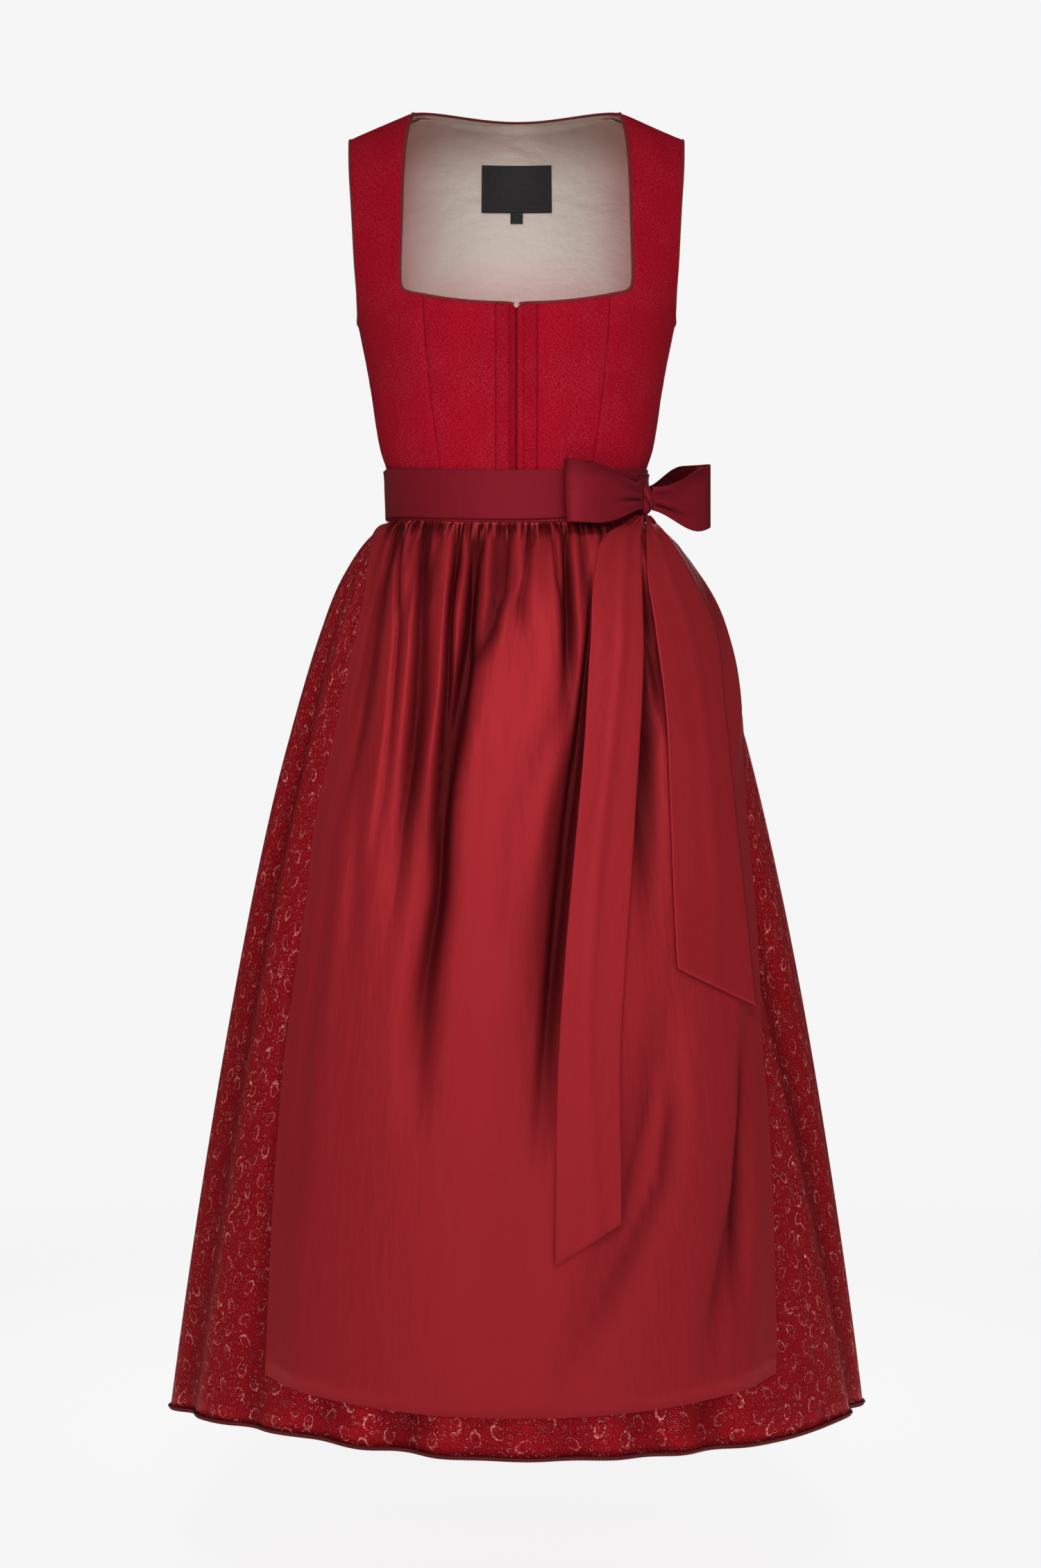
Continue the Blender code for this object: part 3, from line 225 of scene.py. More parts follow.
# The skirt's long folds: angles at their top and at the hem, top height, half width in degrees, depth
SKIRT_FOLDS = (
    (-6, -4, -0.46, 5, 0.009), (-19, -17.1, -0.45, 3.8, 0.021), (-33, -31, -0.5, 4.2, 0.008),
    (-45, -47, -0.44, 4.4, 0.011), (-66, -69, -0.43, 5, 0.013), (10, 8, -0.45, 5, 0.01),
    (20, 20, -0.48, 4, 0.011), (33, 31.5, -0.46, 4.2, 0.014), (52, 77, -0.6, 5, 0.016),
    (88, 94, -0.43, 4.8, 0.012), (102, 107, -0.43, 4, 0.019), (117, 120, -0.44, 4.8, 0.013),
    (130, 133, -0.43, 4, 0.02), (145, 147, -0.43, 5, 0.015), (160, 161, -0.44, 4, 0.021),
    (173, 174, -0.43, 4.4, 0.012), (188, 187, -0.43, 4.8, 0.019), (202, 201, -0.43, 4, 0.014),
    (216, 214, -0.44, 4.8, 0.021), (231, 228, -0.43, 4, 0.013), (245, 241, -0.43, 4.8, 0.019),
    (260, 256, -0.43, 4.2, 0.012), (275, 272, -0.46, 4.4, 0.017),
)

# The bow's two ends: the distance of each edge from the centre, and how far they stand off the skirt
LONG_END = dict(
    height=(-1.13, -1.08, -0.95, -0.85, -0.76, -0.64, -0.54, -0.46, -0.43, -0.418, -0.4066),
    right_edge=(0.034, 0.0345, 0.0365, 0.0425, 0.05, 0.0602, 0.0657, 0.0709, 0.079, 0.092, 0.11),
    left_edge=(0.0935, 0.0935, 0.0925, 0.0973, 0.1034, 0.1102, 0.1134, 0.1125, 0.1135, 0.1145, 0.115),
    lift=(0.0195, 0.0195, 0.0195, 0.0195, 0.0195, 0.0195, 0.0195, 0.016, 0.013, 0.0125, 0.013),
)
SHORT_END = dict(
    height=(-0.89, -0.8, -0.7, -0.6, -0.52, -0.46, -0.43, -0.418, -0.4066),
    right_edge=(0.1458, 0.141, 0.1377, 0.133, 0.1235, 0.117, 0.118, 0.118, 0.1162),
    left_edge=(0.216, 0.2072, 0.1969, 0.1871, 0.1775, 0.152, 0.139, 0.131, 0.1212),
    lift=(0.02, 0.02, 0.02, 0.02, 0.02, 0.017, 0.013, 0.0125, 0.013),
)
LONG_END_CUT, SHORT_END_CUT = (-1.120, -1.082), (-0.849, -0.887)


# The shared surfaces, for numbers or numpy arrays of angles and heights

def read(table, at, column="across"):
    """A column of a table at any place in its first column, on a curve that never overshoots."""
    places = np.array(next(iter(table.values())), float)
    values = np.array(table[column], float)
    at = np.clip(at, places[0], places[-1])
    steps = np.diff(values) / np.diff(places)
    slopes = np.concatenate([[steps[0]], (steps[:-1] + steps[1:]) / 2, [steps[-1]]])
    slopes[1:-1][steps[:-1] * steps[1:] <= 0] = 0.0
    for i, step in enumerate(steps):
        slopes[i:i + 2] = np.clip(slopes[i:i + 2], min(0, 3 * step), max(0, 3 * step))
    i = np.clip(np.searchsorted(places, at) - 1, 0, len(steps) - 1)
    width = places[i + 1] - places[i]
    t = (at - places[i]) / width
    return (values[i] * (2 * t**3 - 3 * t**2 + 1) + values[i + 1] * (3 * t**2 - 2 * t**3)
            + width * (slopes[i] * (t**3 - 2 * t**2 + t) + slopes[i + 1] * (t**3 - t**2)))


def ease(start, end, at):
    """0 at start, 1 at end, and smooth between them."""
    t = np.clip((at - start) / (end - start), 0.0, 1.0)
    return t * t * (3 - 2 * t)


def bump(away, half_width):
    """1 in the middle of a soft ridge, falling off smoothly beside it."""
    return np.exp(-(away / half_width) ** 2)


def wrapped(angle):
    """An angle from -180 to 180."""
    return (angle + 180) % 360 - 180


def grid(rows, columns):
    """The row's value and the column's value at each place of a grid."""
    return np.meshgrid(rows, columns, indexing="ij")


def rows_between(*stops):
    """Heights through (height, count) stops: each count is how many steps lead to the next stop."""
    parts = [np.linspace(start, end, count, endpoint=False)
             for (start, count), (end, _) in zip(stops[:-1], stops[1:])]
    return np.concatenate(parts + [[stops[-1][0]]])


def size_of(vectors):
    return np.linalg.norm(vectors, axis=-1)


def unit(vectors):
    return vectors / np.maximum(1e-12, np.linalg.norm(vectors, axis=-1, keepdims=True))


def square_to(vectors, along):
    """Vectors without what they have along unit vectors."""
    return vectors - along * np.sum(vectors * along, axis=-1, keepdims=True)


def section_parts(angle):
    """The share of the half width and of the half depth that a section has at an angle."""
    sine, cosine = np.sin(np.radians(angle)), np.cos(np.radians(angle))
    power = 2 / SQUARENESS
    return np.sign(sine) * np.abs(sine) ** power, np.sign(cosine) * np.abs(cosine) ** power


def angle_at(across, half_width, behind=False):
    """The angle at which a section of this half width lies this far from the centre."""
    share = np.minimum(1.0, np.abs(across) / half_width)
    angle = np.degrees(np.arcsin(share ** (SQUARENESS / 2)))
    return np.copysign(180 - angle if behind else angle, across)


def waist_dip(angle, height):
    """How far the waist hangs lower at the front."""
    ahead = np.maximum(0.0, np.cos(np.radians(angle)))
    return WAIST_DIP * ahead**2 * (ease(DIP_TOP, BAND_TOP, height) * (1 - ease(*DIP_FADE, height)))


def figure_point(angle, height):
    """Points of the bodice's cloth."""
    side, ahead = section_parts(angle)
    x = read(FIGURE, height, "half_width") * side
    strap = np.minimum(1.0, np.abs(x) / NECK_HALF_WIDTH) ** 2
    behind = read(FIGURE, height, "back") * strap + read(FIGURE, height, "spine") * (1 - strap)
    y = -np.where(ahead >= 0, read(FIGURE, height, "front"), behind) * ahead
    slope = SHOULDER_SLOPE * np.maximum(0.0, np.abs(x) - NECK_HALF_WIDTH) * ease(ARMPIT, 0.0, height)
    return np.stack([x, y, height - slope - waist_dip(angle, height)], axis=-1)


def flare(height):
    """How far the skirt has opened: 0 at the band and 1 at the hem."""
    drop = np.maximum(0.0, (FLARE_TOP - height) / (FLARE_TOP - HEM))
    least = FLARE_START ** FLARE_POWER
    return ((drop + FLARE_START) ** FLARE_POWER - least) / ((1 + FLARE_START) ** FLARE_POWER - least)


def skirt_half_width(height):
    return WAIST_HALF_WIDTH + (HEM_HALF_WIDTH - WAIST_HALF_WIDTH) * flare(height)


def skirt_point(angle, height):
    """Points of the smooth surface that the skirt's ridges touch."""
    side, ahead = section_parts(angle)
    opened = flare(height)
    before = WAIST_FRONT + (HEM_FRONT - WAIST_FRONT) * opened**FRONT_DEPTH_POWER
    behind = WAIST_BACK + (HEM_BACK - WAIST_BACK) * opened**BACK_DEPTH_POWER
    y = -np.where(ahead >= 0, before, behind) * ahead
    return np.stack([skirt_half_width(height) * side, y, height - waist_dip(angle, height)], axis=-1)


def outward(angle, height):
    """The outward normal of the figure."""
    below = np.minimum(height, -SLOPE_RISE) - SLOPE_RISE
    round_it = figure_point(angle + SLOPE_TURN, below) - figure_point(angle - SLOPE_TURN, below)
    up_it = figure_point(angle, below + SLOPE_RISE) - figure_point(angle, below - SLOPE_RISE)
    return unit(np.cross(round_it, up_it))


def lifted(angle, height, lift):
    """Points of the figure, moved out by lift along its normal."""
    return figure_point(angle, height) + outward(angle, height) * np.asarray(lift)[..., None]


def skirt_out(angle, height, lift):
    """Points beside the skirt's surface, moved level and away from the body by lift."""
    round_it = skirt_point(angle + SLOPE_TURN, height) - skirt_point(angle - SLOPE_TURN, height)
    level = np.stack([round_it[..., 1], -round_it[..., 0], np.zeros_like(round_it[..., 0])], axis=-1)
    return skirt_point(angle, height) + unit(level) * np.asarray(lift)[..., None]


def inset_angle(angle, towards, surface, height, gap):
    """An angle moved by a gap in metres, towards another angle."""
    span = size_of(surface(angle + 0.5, height) - surface(angle - 0.5, height))
    return angle + np.copysign(np.minimum(gap / span, np.abs(towards - angle) / 3), towards - angle)


def figure_angle(across, height, behind=False):
    return angle_at(across, read(FIGURE, height, "half_width"), behind)


def armhole_angle(height, behind):
    """The angle of the armhole's edge, or of the side seam below the armpit."""
    return np.where(height <= ARMPIT, 90.0, figure_angle(read(ARMHOLE, height), height, behind))


def neck_front_height(across):
    """The height of the front neckline between its two corners, with the notch at the opening."""
    rise = NECK_FRONT_RISE * (np.abs(across) / NECK_CORNER) ** NECK_FRONT_POWER
    return NECK_FRONT_LOW + rise - NOTCH_DEPTH * (1 - ease(0.0, NOTCH_HALF_WIDTH, np.abs(across)))


def soft_noise(across, up, seed):
    """Smooth and repeatable noise from -1 to 1, one bump to each unit of its two coordinates."""
    lattice = np.random.default_rng(seed).uniform(-1, 1, (64, 64))
    i, j = np.floor(across).astype(int), np.floor(up).astype(int)
    s, t = ease(0.0, 1.0, across - i), ease(0.0, 1.0, up - j)
    low = lattice[i % 64, j % 64] * (1 - s) + lattice[(i + 1) % 64, j % 64] * s
    high = lattice[i % 64, (j + 1) % 64] * (1 - s) + lattice[(i + 1) % 64, (j + 1) % 64] * s
    return low * (1 - t) + high * t


# Meshes and pieces

def quads(corners):
    """The four corners of each face of a grid, in order."""
    return np.stack([corners[:-1, :-1], corners[:-1, 1:], corners[1:, 1:], corners[1:, :-1]], axis=2)


def mesh_of(name, points, faces, cut=None, hollow=None):
    """A smooth mesh, with the cloth's own metres as UV and, to 1, how much painted shade each point gets."""
    mesh = bpy.data.meshes.new(name)
    mesh.from_pydata(points.reshape(-1, 3).tolist(), [], faces)
    if cut is not None:
        mesh.uv_layers.new(name="cut").uv.foreach_set("vector", cut.ravel())
    if hollow is not None:
        mesh.attributes.new("hollow", "FLOAT", "POINT").data.foreach_set("value", hollow.ravel())
    mesh.shade_smooth()
    return mesh


def piece(name, mesh, nodes, *finishes):
    """A mesh as a piece of the dress, in place of its nodes of the frame."""
    made = bpy.data.objects.new(name, mesh)
    bpy.context.scene.collection.objects.link(made)
    for each in finishes:
        mesh.materials.append(finish(each))
    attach(made, BODY)
    if nodes:
        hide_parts(*nodes)
    return made


def metres(points):
    """The cloth's own coordinates: mean lengths along the rows and up the columns of a grid."""
    along, up = size_of(np.diff(points, axis=1)), size_of(np.diff(points, axis=0))
    across = np.concatenate([np.zeros((len(points), 1)), np.cumsum(along, axis=1)], axis=1)
    across -= across[:, -1:] / 2
    rise = np.concatenate([[0.0], np.cumsum(up.mean(axis=1))])
    return np.stack([across, np.broadcast_to(rise[:, None], across.shape)], axis=-1)


def sheet(name, node, points, thickness, *finishes, cut=None, hollow=None):
    """A piece of cloth through rows of points, the lowest first, with its thickness to both sides."""
    index = np.arange(points.shape[0] * points.shape[1]).reshape(points.shape[:2])
    cut = metres(points) if cut is None else cut
    mesh = mesh_of(name, points, quads(index).reshape(-1, 4).tolist(), quads(cut), hollow)
    made = piece(name, mesh, [node], *finishes)
    solid = made.modifiers.new("Thickness", "SOLIDIFY")
    solid.thickness, solid.offset, solid.material_offset = thickness, 0.0, len(finishes) - 1
    bpy.ops.object.select_all(action="DESELECT")
    made.select_set(True)
    bpy.context.view_layer.objects.active = made
    bpy.ops.object.modifier_apply(modifier=solid.name)
    return made


def hand(side):
    return "left" if side > 0 else "right"


# Finishes. A Field is a value that changes over a cloth, and its sums are built as Math nodes.

class Field:
    """A value on a material's tree, which adds, multiplies and compares like a number."""

    def __init__(self, tree, socket):
        self.tree, self.socket = tree, socket

    def math(self, operation, *others):
        return Field(self.tree, node(self.tree, "Math", self, *others, operation=operation).outputs[0])

    def sum_rule(operation):
        return lambda self, other: self.math(operation, other)

    __add__, __radd__, __sub__ = sum_rule("ADD"), sum_rule("ADD"), sum_rule("SUBTRACT")
    __mul__, __truediv__ = sum_rule("MULTIPLY"), sum_rule("DIVIDE")
    least, most = sum_rule("MINIMUM"), sum_rule("MAXIMUM")

    def __neg__(self):
        return self * -1.0

    def __rsub__(self, other):
        return -self + other

    def size(self):
        return self.math("ABSOLUTE")

    def within(self, period):
        """The place inside each period, from minus a half to plus a half of it."""
        return self.math("FLOORED_MODULO", period) - period / 2

    def index(self, period):
        return (self / period).math("FLOOR")

    def fall(self, start, end):
        """1 below start and 0 above end, smooth between them."""
        made = node(self.tree, "MapRange", self, start, end, 1.0, 0.0, interpolation_type="SMOOTHSTEP")
        return Field(self.tree, made.outputs["Result"])

    def climb(self, start, end):
        """0 below start and 1 above end, smooth between them."""
        return (-self).fall(-end, -start)


def feed(tree, place, value):
    """Puts a field, a socket, a number or a colour on an input."""
    value = value.socket if isinstance(value, Field) else value
    if isinstance(value, bpy.types.NodeSocket):
        tree.links.new(value, place)
    else:
        place.default_value = value


def node(tree, kind, *values, **settings):
    """A new node with its settings, and with its first inputs fed in order."""
    made = tree.nodes.new("ShaderNode" + kind)
    for name, value in settings.items():
        setattr(made, name, value)
    for place, value in zip(made.inputs, values):
        feed(tree, place, value)
    return made


def constants(shader, **values):
    """Constants on a shader's own inputs, by their names."""
    for name, value in values.items():
        shader.inputs[name.replace("_", " ")].default_value = value


def far(x, y):
    """The distance of two fields from nothing."""
    return (x * x + y * y).math("SQRT")


def turned(x, y, angle):
    """Two coordinates turned by a field of angles."""
    cosine, sine = angle.math("COSINE"), angle.math("SINE")
    return x * cosine - y * sine, x * sine + y * cosine


class Cloth:
    """A material whose colour, roughness and relief are built up from fields of its own metres."""

    def __init__(self, name, colour, roughness, **more):
        self.material = bpy.data.materials.new(name)
        self.material.use_nodes = True
        self.tree = self.material.node_tree
        self.shader = self.tree.nodes["Principled BSDF"]
        self.ground, self.colour = colour, (*colour, 1.0)
        constants(self.shader, Base_Color=self.colour, Roughness=roughness, **more)
        self.place = node(self.tree, "UVMap", uv_map="cut").outputs["UV"]
        parts = node(self.tree, "SeparateXYZ", self.place).outputs
        self.across, self.up = Field(self.tree, parts["X"]), Field(self.tree, parts["Y"])

    def noise(self, width, height, detail=2.0, shift=0.0):
        """Noise from 0 to 1 whose grains have this width and height in metres."""
        scaled = node(self.tree, "Mapping", self.place, (shift, shift * 0.7, 0.0), (0.0, 0.0, 0.0),
                      (1 / width, 1 / height, 1.0)).outputs[0]
        made = node(self.tree, "TexNoise", scaled, noise_dimensions="2D")
        constants(made, Scale=1.0, Detail=detail)
        return Field(self.tree, made.outputs["Fac"])

    def chance(self, i, j):
        """Three random numbers for each pair of whole numbers."""
        pair = node(self.tree, "CombineXYZ", i, j).outputs[0]
        colour = node(self.tree, "TexWhiteNoise", pair, noise_dimensions="2D").outputs["Color"]
        return [Field(self.tree, socket) for socket in node(self.tree, "SeparateColor", colour).outputs]

    def dye_and_paint_light(self, share, colour):
        """Mixes in a colour, or that part of the cloth's own, by a field from 0 to 1: the cloth's own
        colours, and also painted shade and painted highlights.
        """
        if isinstance(colour, float):
            colour = [part * colour for part in self.ground]
        mix = node(self.tree, "Mix", share, data_type="RGBA")
        feed(self.tree, mix.inputs[6], self.colour)
        feed(self.tree, mix.inputs[7], (*colour, 1.0))
        self.colour = Field(self.tree, mix.outputs[2])
        feed(self.tree, self.shader.inputs["Base Color"], self.colour)

    def hollow(self):
        """How much painted shade the cloth gets, from the mesh's own attribute."""
        return Field(self.tree, node(self.tree, "Attribute", attribute_name="hollow").outputs["Fac"])

    def finished(self, height, depth):
        """The material, with fine relief: height is a field from 0 to 1 and depth is in metres."""
        relief = node(self.tree, "Bump")
        constants(relief, Distance=depth)
        feed(self.tree, relief.inputs["Height"], height)
        feed(self.tree, self.shader.inputs["Normal"], relief.outputs[0])
        return self.material


def wool(name, colour):
    """Felted wool: a fine heather of lighter and darker fibres along both threads, a soft nap, and painted
    shade in its grooves and at the front opening.
    """
    cloth = Cloth(name, colour, 0.90, Specular_IOR_Level=0.12, Specular_Tint=(1.0, 0.30, 0.30, 1.0))
    cloth.dye_and_paint_light(cloth.noise(0.060, 0.075).fall(0.32, 0.70) * 0.15, 0.62)
    fine = cloth.noise(0.0010, 0.0008, 5.0)
    along = cloth.noise(0.0032, 0.0008, 4.0, 3.0)
    up = cloth.noise(0.0008, 0.0036, 4.0, 9.0)
    grain = fine * 0.44 + along * 0.32 + up * 0.24
    cloth.dye_and_paint_light(grain.fall(0.36, 0.54) * 0.50, 0.55)
    patches = cloth.noise(0.035, 0.045, 2.0, 17.0)
    cloth.dye_and_paint_light(grain.climb(0.46, 0.62) * (0.24 + patches.climb(0.40, 0.65) * 0.16), (0.50, 0.055, 0.085))
    # Painted shade along the placket's grooves and in the front opening.
    cloth.dye_and_paint_light(cloth.hollow() * 0.85, 0.12)
    return cloth.finished(grain, 0.00030)


def satin(name, colour, shine, tucked=False):
    """Smooth satin that catches light, with faint slubs and painted shade in its folds, and with tucks where
    it is gathered: their gaps get painted shade and their puffs painted highlights, besides their bumps.
    """
    cloth = Cloth(name, colour, 0.56, Metallic=shine, Specular_IOR_Level=0.20,
                  Specular_Tint=(1.0, 0.20, 0.20, 1.0))
    slub, weft = cloth.noise(0.0012, 0.080, 2.0), cloth.noise(0.060, 0.0014, 2.0, 5.0)
    cloth.dye_and_paint_light(slub.fall(0.35, 0.60) * 0.04, 0.76)
    cloth.dye_and_paint_light(weft.climb(0.50, 0.66) * 0.03, (0.50, 0.030, 0.030))
    # Painted shade, deeper in the folds and gathers.
    cloth.dye_and_paint_light(cloth.hollow() * 0.90, 0.10)
    crinkle = cloth.noise(0.020, 0.045, 3.0, 3.0) * 0.90 + slub * 0.010 + weft * 0.010
    if tucked:
        near = cloth.up.climb(BAND_BOTTOM - 0.026, BAND_BOTTOM - 0.002)
        tucks = cloth.noise(0.0085, 0.045, 2.0, 71.0)
        # Painted shade in the gaps between the tucks, and painted highlights on their puffs, near the band.
        cloth.dye_and_paint_light(tucks.fall(0.40, 0.47) * near * 0.80, 0.12)
        cloth.dye_and_paint_light(tucks.climb(0.53, 0.62) * near * 0.50, (0.56, 0.055, 0.058))
        crinkle = crinkle + tucks * near
    return cloth.finished(crinkle, 0.0010)


def lining_satin(name, colour):
    """Cream satin with the faintest weave, with painted pink bounce light from the wool towards its lower and
    side edges, and painted shade under the neckline.
    """
    cloth = Cloth(name, colour, 0.42, Sheen_Weight=0.08, Sheen_Roughness=0.35, Specular_IOR_Level=0.55)
    weave = cloth.noise(0.0008, 0.040, 2.0)
    cloth.dye_and_paint_light(weave.fall(0.35, 0.62) * 0.10, 0.84)
    # Painted pink bounce light from the red wool, low down and towards the sides.
    beside = cloth.across.size().climb(*LINING_PAINTED_BOUNCE[2:])
    cloth.dye_and_paint_light(cloth.up.fall(*LINING_PAINTED_BOUNCE[:2]).most(beside * 0.75), (0.66, 0.205, 0.205))
    # Painted shade: darker brown towards the top, under the neckline.
    cloth.dye_and_paint_light(cloth.up.climb(0.335, 0.392) * 0.70, (0.30, 0.175, 0.130))
    return cloth.finished(cloth.noise(0.022, 0.013, 3.0) * 0.9 + weave * 0.06, 0.0018)


def cord_twist(name, colour):
    """Twisted cord: each ply is spun from fine strands, with painted highlights on their crowns and painted
    shade between them.
    """
    cloth = Cloth(name, colour, 0.50, Specular_IOR_Level=0.35, Specular_Tint=(1.0, 0.45, 0.40, 1.0))
    strand = ((cloth.across + cloth.up * 1.5) * (2 * math.pi / 0.0007)).math("SINE") * 0.5 + 0.5
    # Painted highlights on the plies' crowns, and painted shade where the plies meet.
    cloth.dye_and_paint_light(cloth.hollow().fall(0.0, 0.25) * 0.70, (0.42, 0.058, 0.062))
    cloth.dye_and_paint_light(cloth.hollow().climb(0.20, 0.60) * 0.95, 0.07)
    cloth.dye_and_paint_light(cloth.noise(0.0030, 0.002).fall(0.42, 0.70) * 0.20, (0.30, 0.050, 0.045))
    return cloth.finished(strand, 0.00020)


def label_weave(name, colour):
    """The bare label's close black weave."""
    cloth = Cloth(name, colour, 0.50, Sheen_Weight=0.12, Sheen_Roughness=0.4, Specular_IOR_Level=0.35)
    rib = (cloth.up * (2 * math.pi / 0.0008)).math("SINE") * 0.5 + 0.5
    cloth.dye_and_paint_light(cloth.noise(0.004, 0.0006, 2.0).fall(0.35, 0.65) * 0.5, (0.022, 0.021, 0.021))
    return cloth.finished(rib * 0.6 + cloth.noise(0.010, 0.008) * 0.5, 0.00025)


# The jacquard's figures, in millimetres. Each field is below 0 inside its figure.

def half_drop(x, y, width, height):
    """Places on a lattice whose every second column drops by half, and that lattice's cells."""
    column = x.index(width)
    y = y + column.math("FLOORED_MODULO", 2.0) * (height / 2)
    return x.within(width), y.within(height), column, y.index(height)


def horseshoes(cloth, x, y):
    """Open ovals drawn with a fringe of short threads, heavier at one end."""
    x, y, i, j = half_drop(x, y, 21.0, 27.0)
    tilt, open_at, shift = cloth.chance(i, j)
    x, y = turned(x + shift * 7.0 - 3.5, y + open_at * 9.0 - 4.5, tilt * 2.4 - 1.2)
    around = (y / 7.0).math("ARCTAN2", x / 4.4)
    ring = (far(x / 4.4, y / 7.0) - 1.0) * 5.2
    width = (around + open_at * 6.283).math("SINE") * 0.55 + 0.45
    threads = (around * 13.0 + ring * 0.9).math("SINE") * 0.40
    return ring.size() - width + threads * 0.8, ring


def rosettes(x, y):
    """Small flowers in dotted rings."""
    x, y, _, _ = half_drop(x + 9.0, y + 12.0, 63.0, 81.0)
    away, angle = far(x, y), y.math("ARCTAN2", x)
    petals = (away - (angle * 8.0).math("COSINE") * 0.9 - 3.6).size() - 0.20
    eye = (away - 1.3).size() - 0.15
    step = (angle * (16 / (2 * math.pi))).within(1.0) * (2 * math.pi * 6.9 / 16)
    return away, petals.least(eye).least(far(away - 6.9, step) - 0.45)


def scattered(cloth, x, y):
    """Short threads, hearts, leaves and rings, one to each small square, each at its own turn."""
    square = 6.4
    kind, turn, shift = cloth.chance(x.index(square) + 40.0, y.index(square))
    x, y = turned(x.within(square) + shift * 3.6 - 2.3, y.within(square) + kind * 3.0 - 1.5, turn * 6.283)
    shape = (x.size() - 1.3).most(y.size() - 0.30)
    heart = (far(x, y * 1.15 - x.size().math("SQRT") * 0.9) - 1.5).size() - 0.2
    leaf = (far(x.size() + 1.6, y) - 2.8).size() - 0.2
    ring = (far(x, y) - 1.2).size() - 0.15
    for other, from_kind in ((heart, 0.50), (leaf, 0.66), (ring, 0.86)):
        shape = shape + (other - shape) * kind.math("GREATER_THAN", from_kind)
    return shape + shift.math("LESS_THAN", 0.30) * 4.0


def jacquard(name, colour):
    """The skirt's figured satin: open ovals, flowers and scattered threads on a deep red ground, with painted
    glints on its pale threads and painted shade in its folds.
    """
    cloth = Cloth(name, colour, 0.50, Metallic=0.35, Specular_IOR_Level=0.10,
                  Specular_Tint=(1.0, 0.20, 0.20, 1.0))
    sway = cloth.noise(0.016, 0.016, 1.0, 11.0) * 2.0
    x, y = cloth.across * 1000.0 + sway, cloth.up * 1000.0 + sway
    oval, ring = horseshoes(cloth, x, y)
    away, flower = rosettes(x, y)
    flower_clear = away.fall(7.8, 8.8)
    oval = oval + flower_clear * 6.0
    small = scattered(cloth, x, y) + flower_clear * 4.0
    small = small + ring.fall(0.8, 1.6) * (-ring).fall(0.8, 1.6) * 3.0
    tendril = (cloth.noise(0.0050, 0.0050, 1.0, 21.0) - 0.5).size() * 16.0 - 0.20
    lit, catch = cloth.noise(0.030, 0.030, 2.0, 31.0), cloth.noise(0.0024, 0.0024, 2.0, 41.0)
    figure = oval.least(small).least(flower)
    cloth.dye_and_paint_light(cloth.noise(0.0009, 0.020, 2.0).fall(0.35, 0.62) * 0.20, 0.70)
    cloth.dye_and_paint_light(tendril.fall(0.0, 0.40) * 0.62, 0.36)
    cloth.dye_and_paint_light((figure - 0.85).size().fall(0.15, 0.60) * 0.55, 0.36)
    cloth.dye_and_paint_light(figure.fall(-0.1, 0.35) * 0.55, (0.50, 0.030, 0.036))
    # The figures' pale pink threads: partly the threads' own colour, partly painted glints whose strength is
    # varied by random noise.
    strong = catch.climb(0.42, 0.62) * (0.40 + lit.climb(0.44, 0.60) * 0.60)
    cloth.dye_and_paint_light(oval.fall(0.1, 0.60) * strong, (0.92, 0.320, 0.280))
    cloth.dye_and_paint_light(small.least(flower).fall(0.0, 0.40) * strong * 0.85, (0.86, 0.230, 0.200))
    # Painted glints: fine pale specks.
    cloth.dye_and_paint_light(cloth.noise(0.0011, 0.0024, 1.0, 61.0).climb(0.66, 0.76) * 0.28, (0.80, 0.150, 0.130))
    # Painted shade, deeper in the gathers and folds.
    cloth.dye_and_paint_light(cloth.hollow() * 0.75, 0.12)
    feed(cloth.tree, cloth.shader.inputs["Roughness"], 0.54 - figure.fall(0.0, 0.4) * 0.20)
    return cloth.finished(figure.fall(0.0, 0.5) * 0.4 + cloth.noise(0.022, 0.050, 3.0, 51.0), 0.0006)


# Each finish: its slot, its maker, its colour or that colour's name in the panel, and what else it takes
MAKERS = {
    "wool": ("bodice_wool", wool, "wool"),
    "lining": ("lining_satin", lining_satin, "lining"),
    "label": ("label_black", label_weave, "label"),
    "cord": ("edge_cord", cord_twist, "cord"),
    "jacquard": ("skirt_jacquard", jacquard, "jacquard"),
    "satin": ("apron_satin", satin, "satin", 0.28),
    "gathered": ("apron_satin", satin, "satin", 0.28, True),
    "band": ("apron_satin", satin, "band", 0.15),
    "thread": ("apron_satin", satin, (0.42, 0.030, 0.036), 0.10),
}
FINISHES = {}


def finish(name):
    """One of the dress's materials, made once from the panel's colours."""
    if name not in FINISHES:
        _, make, colour, *more = MAKERS[name]
        if isinstance(colour, str):
            colour = tuple(getattr(bpy.context.scene.dirndl_colours, colour))
        FINISHES[name] = make(name, colour, *more)
    return FINISHES[name]


# The bodice

def seam_relief(from_edge, along, seed):
    """A sewn edge: it rolls in, and the cloth beside it puckers a little."""
    pucker = soft_noise(along / PUCKER_LENGTH, from_edge * 0, seed) * PUCKER
    return pucker * bump(from_edge, PUCKER_LENGTH) - SEAM_ROLL * bump(from_edge, SEAM_HALF_WIDTH)


def wool_relief(points, seed):
    """The slight unevenness of worn wool."""
    return 0.0004 * soft_noise(points[..., 0] / 0.050, points[..., 2] / 0.075, seed)


def calm(*from_edges):
    """0 at sewn edges and 1 a little way from them."""
    return math.prod(ease(0, EDGE_CALM, away) for away in from_edges)


def wool_panel(name, node, points, side=1, hollow=None):
    """A lined panel of wool. The right-hand one's columns are turned round, so that it faces outwards."""
    if side < 0:
        points, hollow = points[:, ::-1], None if hollow is None else hollow[:, ::-1]
    return sheet(name, node, points, BODICE_CLOTH, "wool", "lining", hollow=hollow)


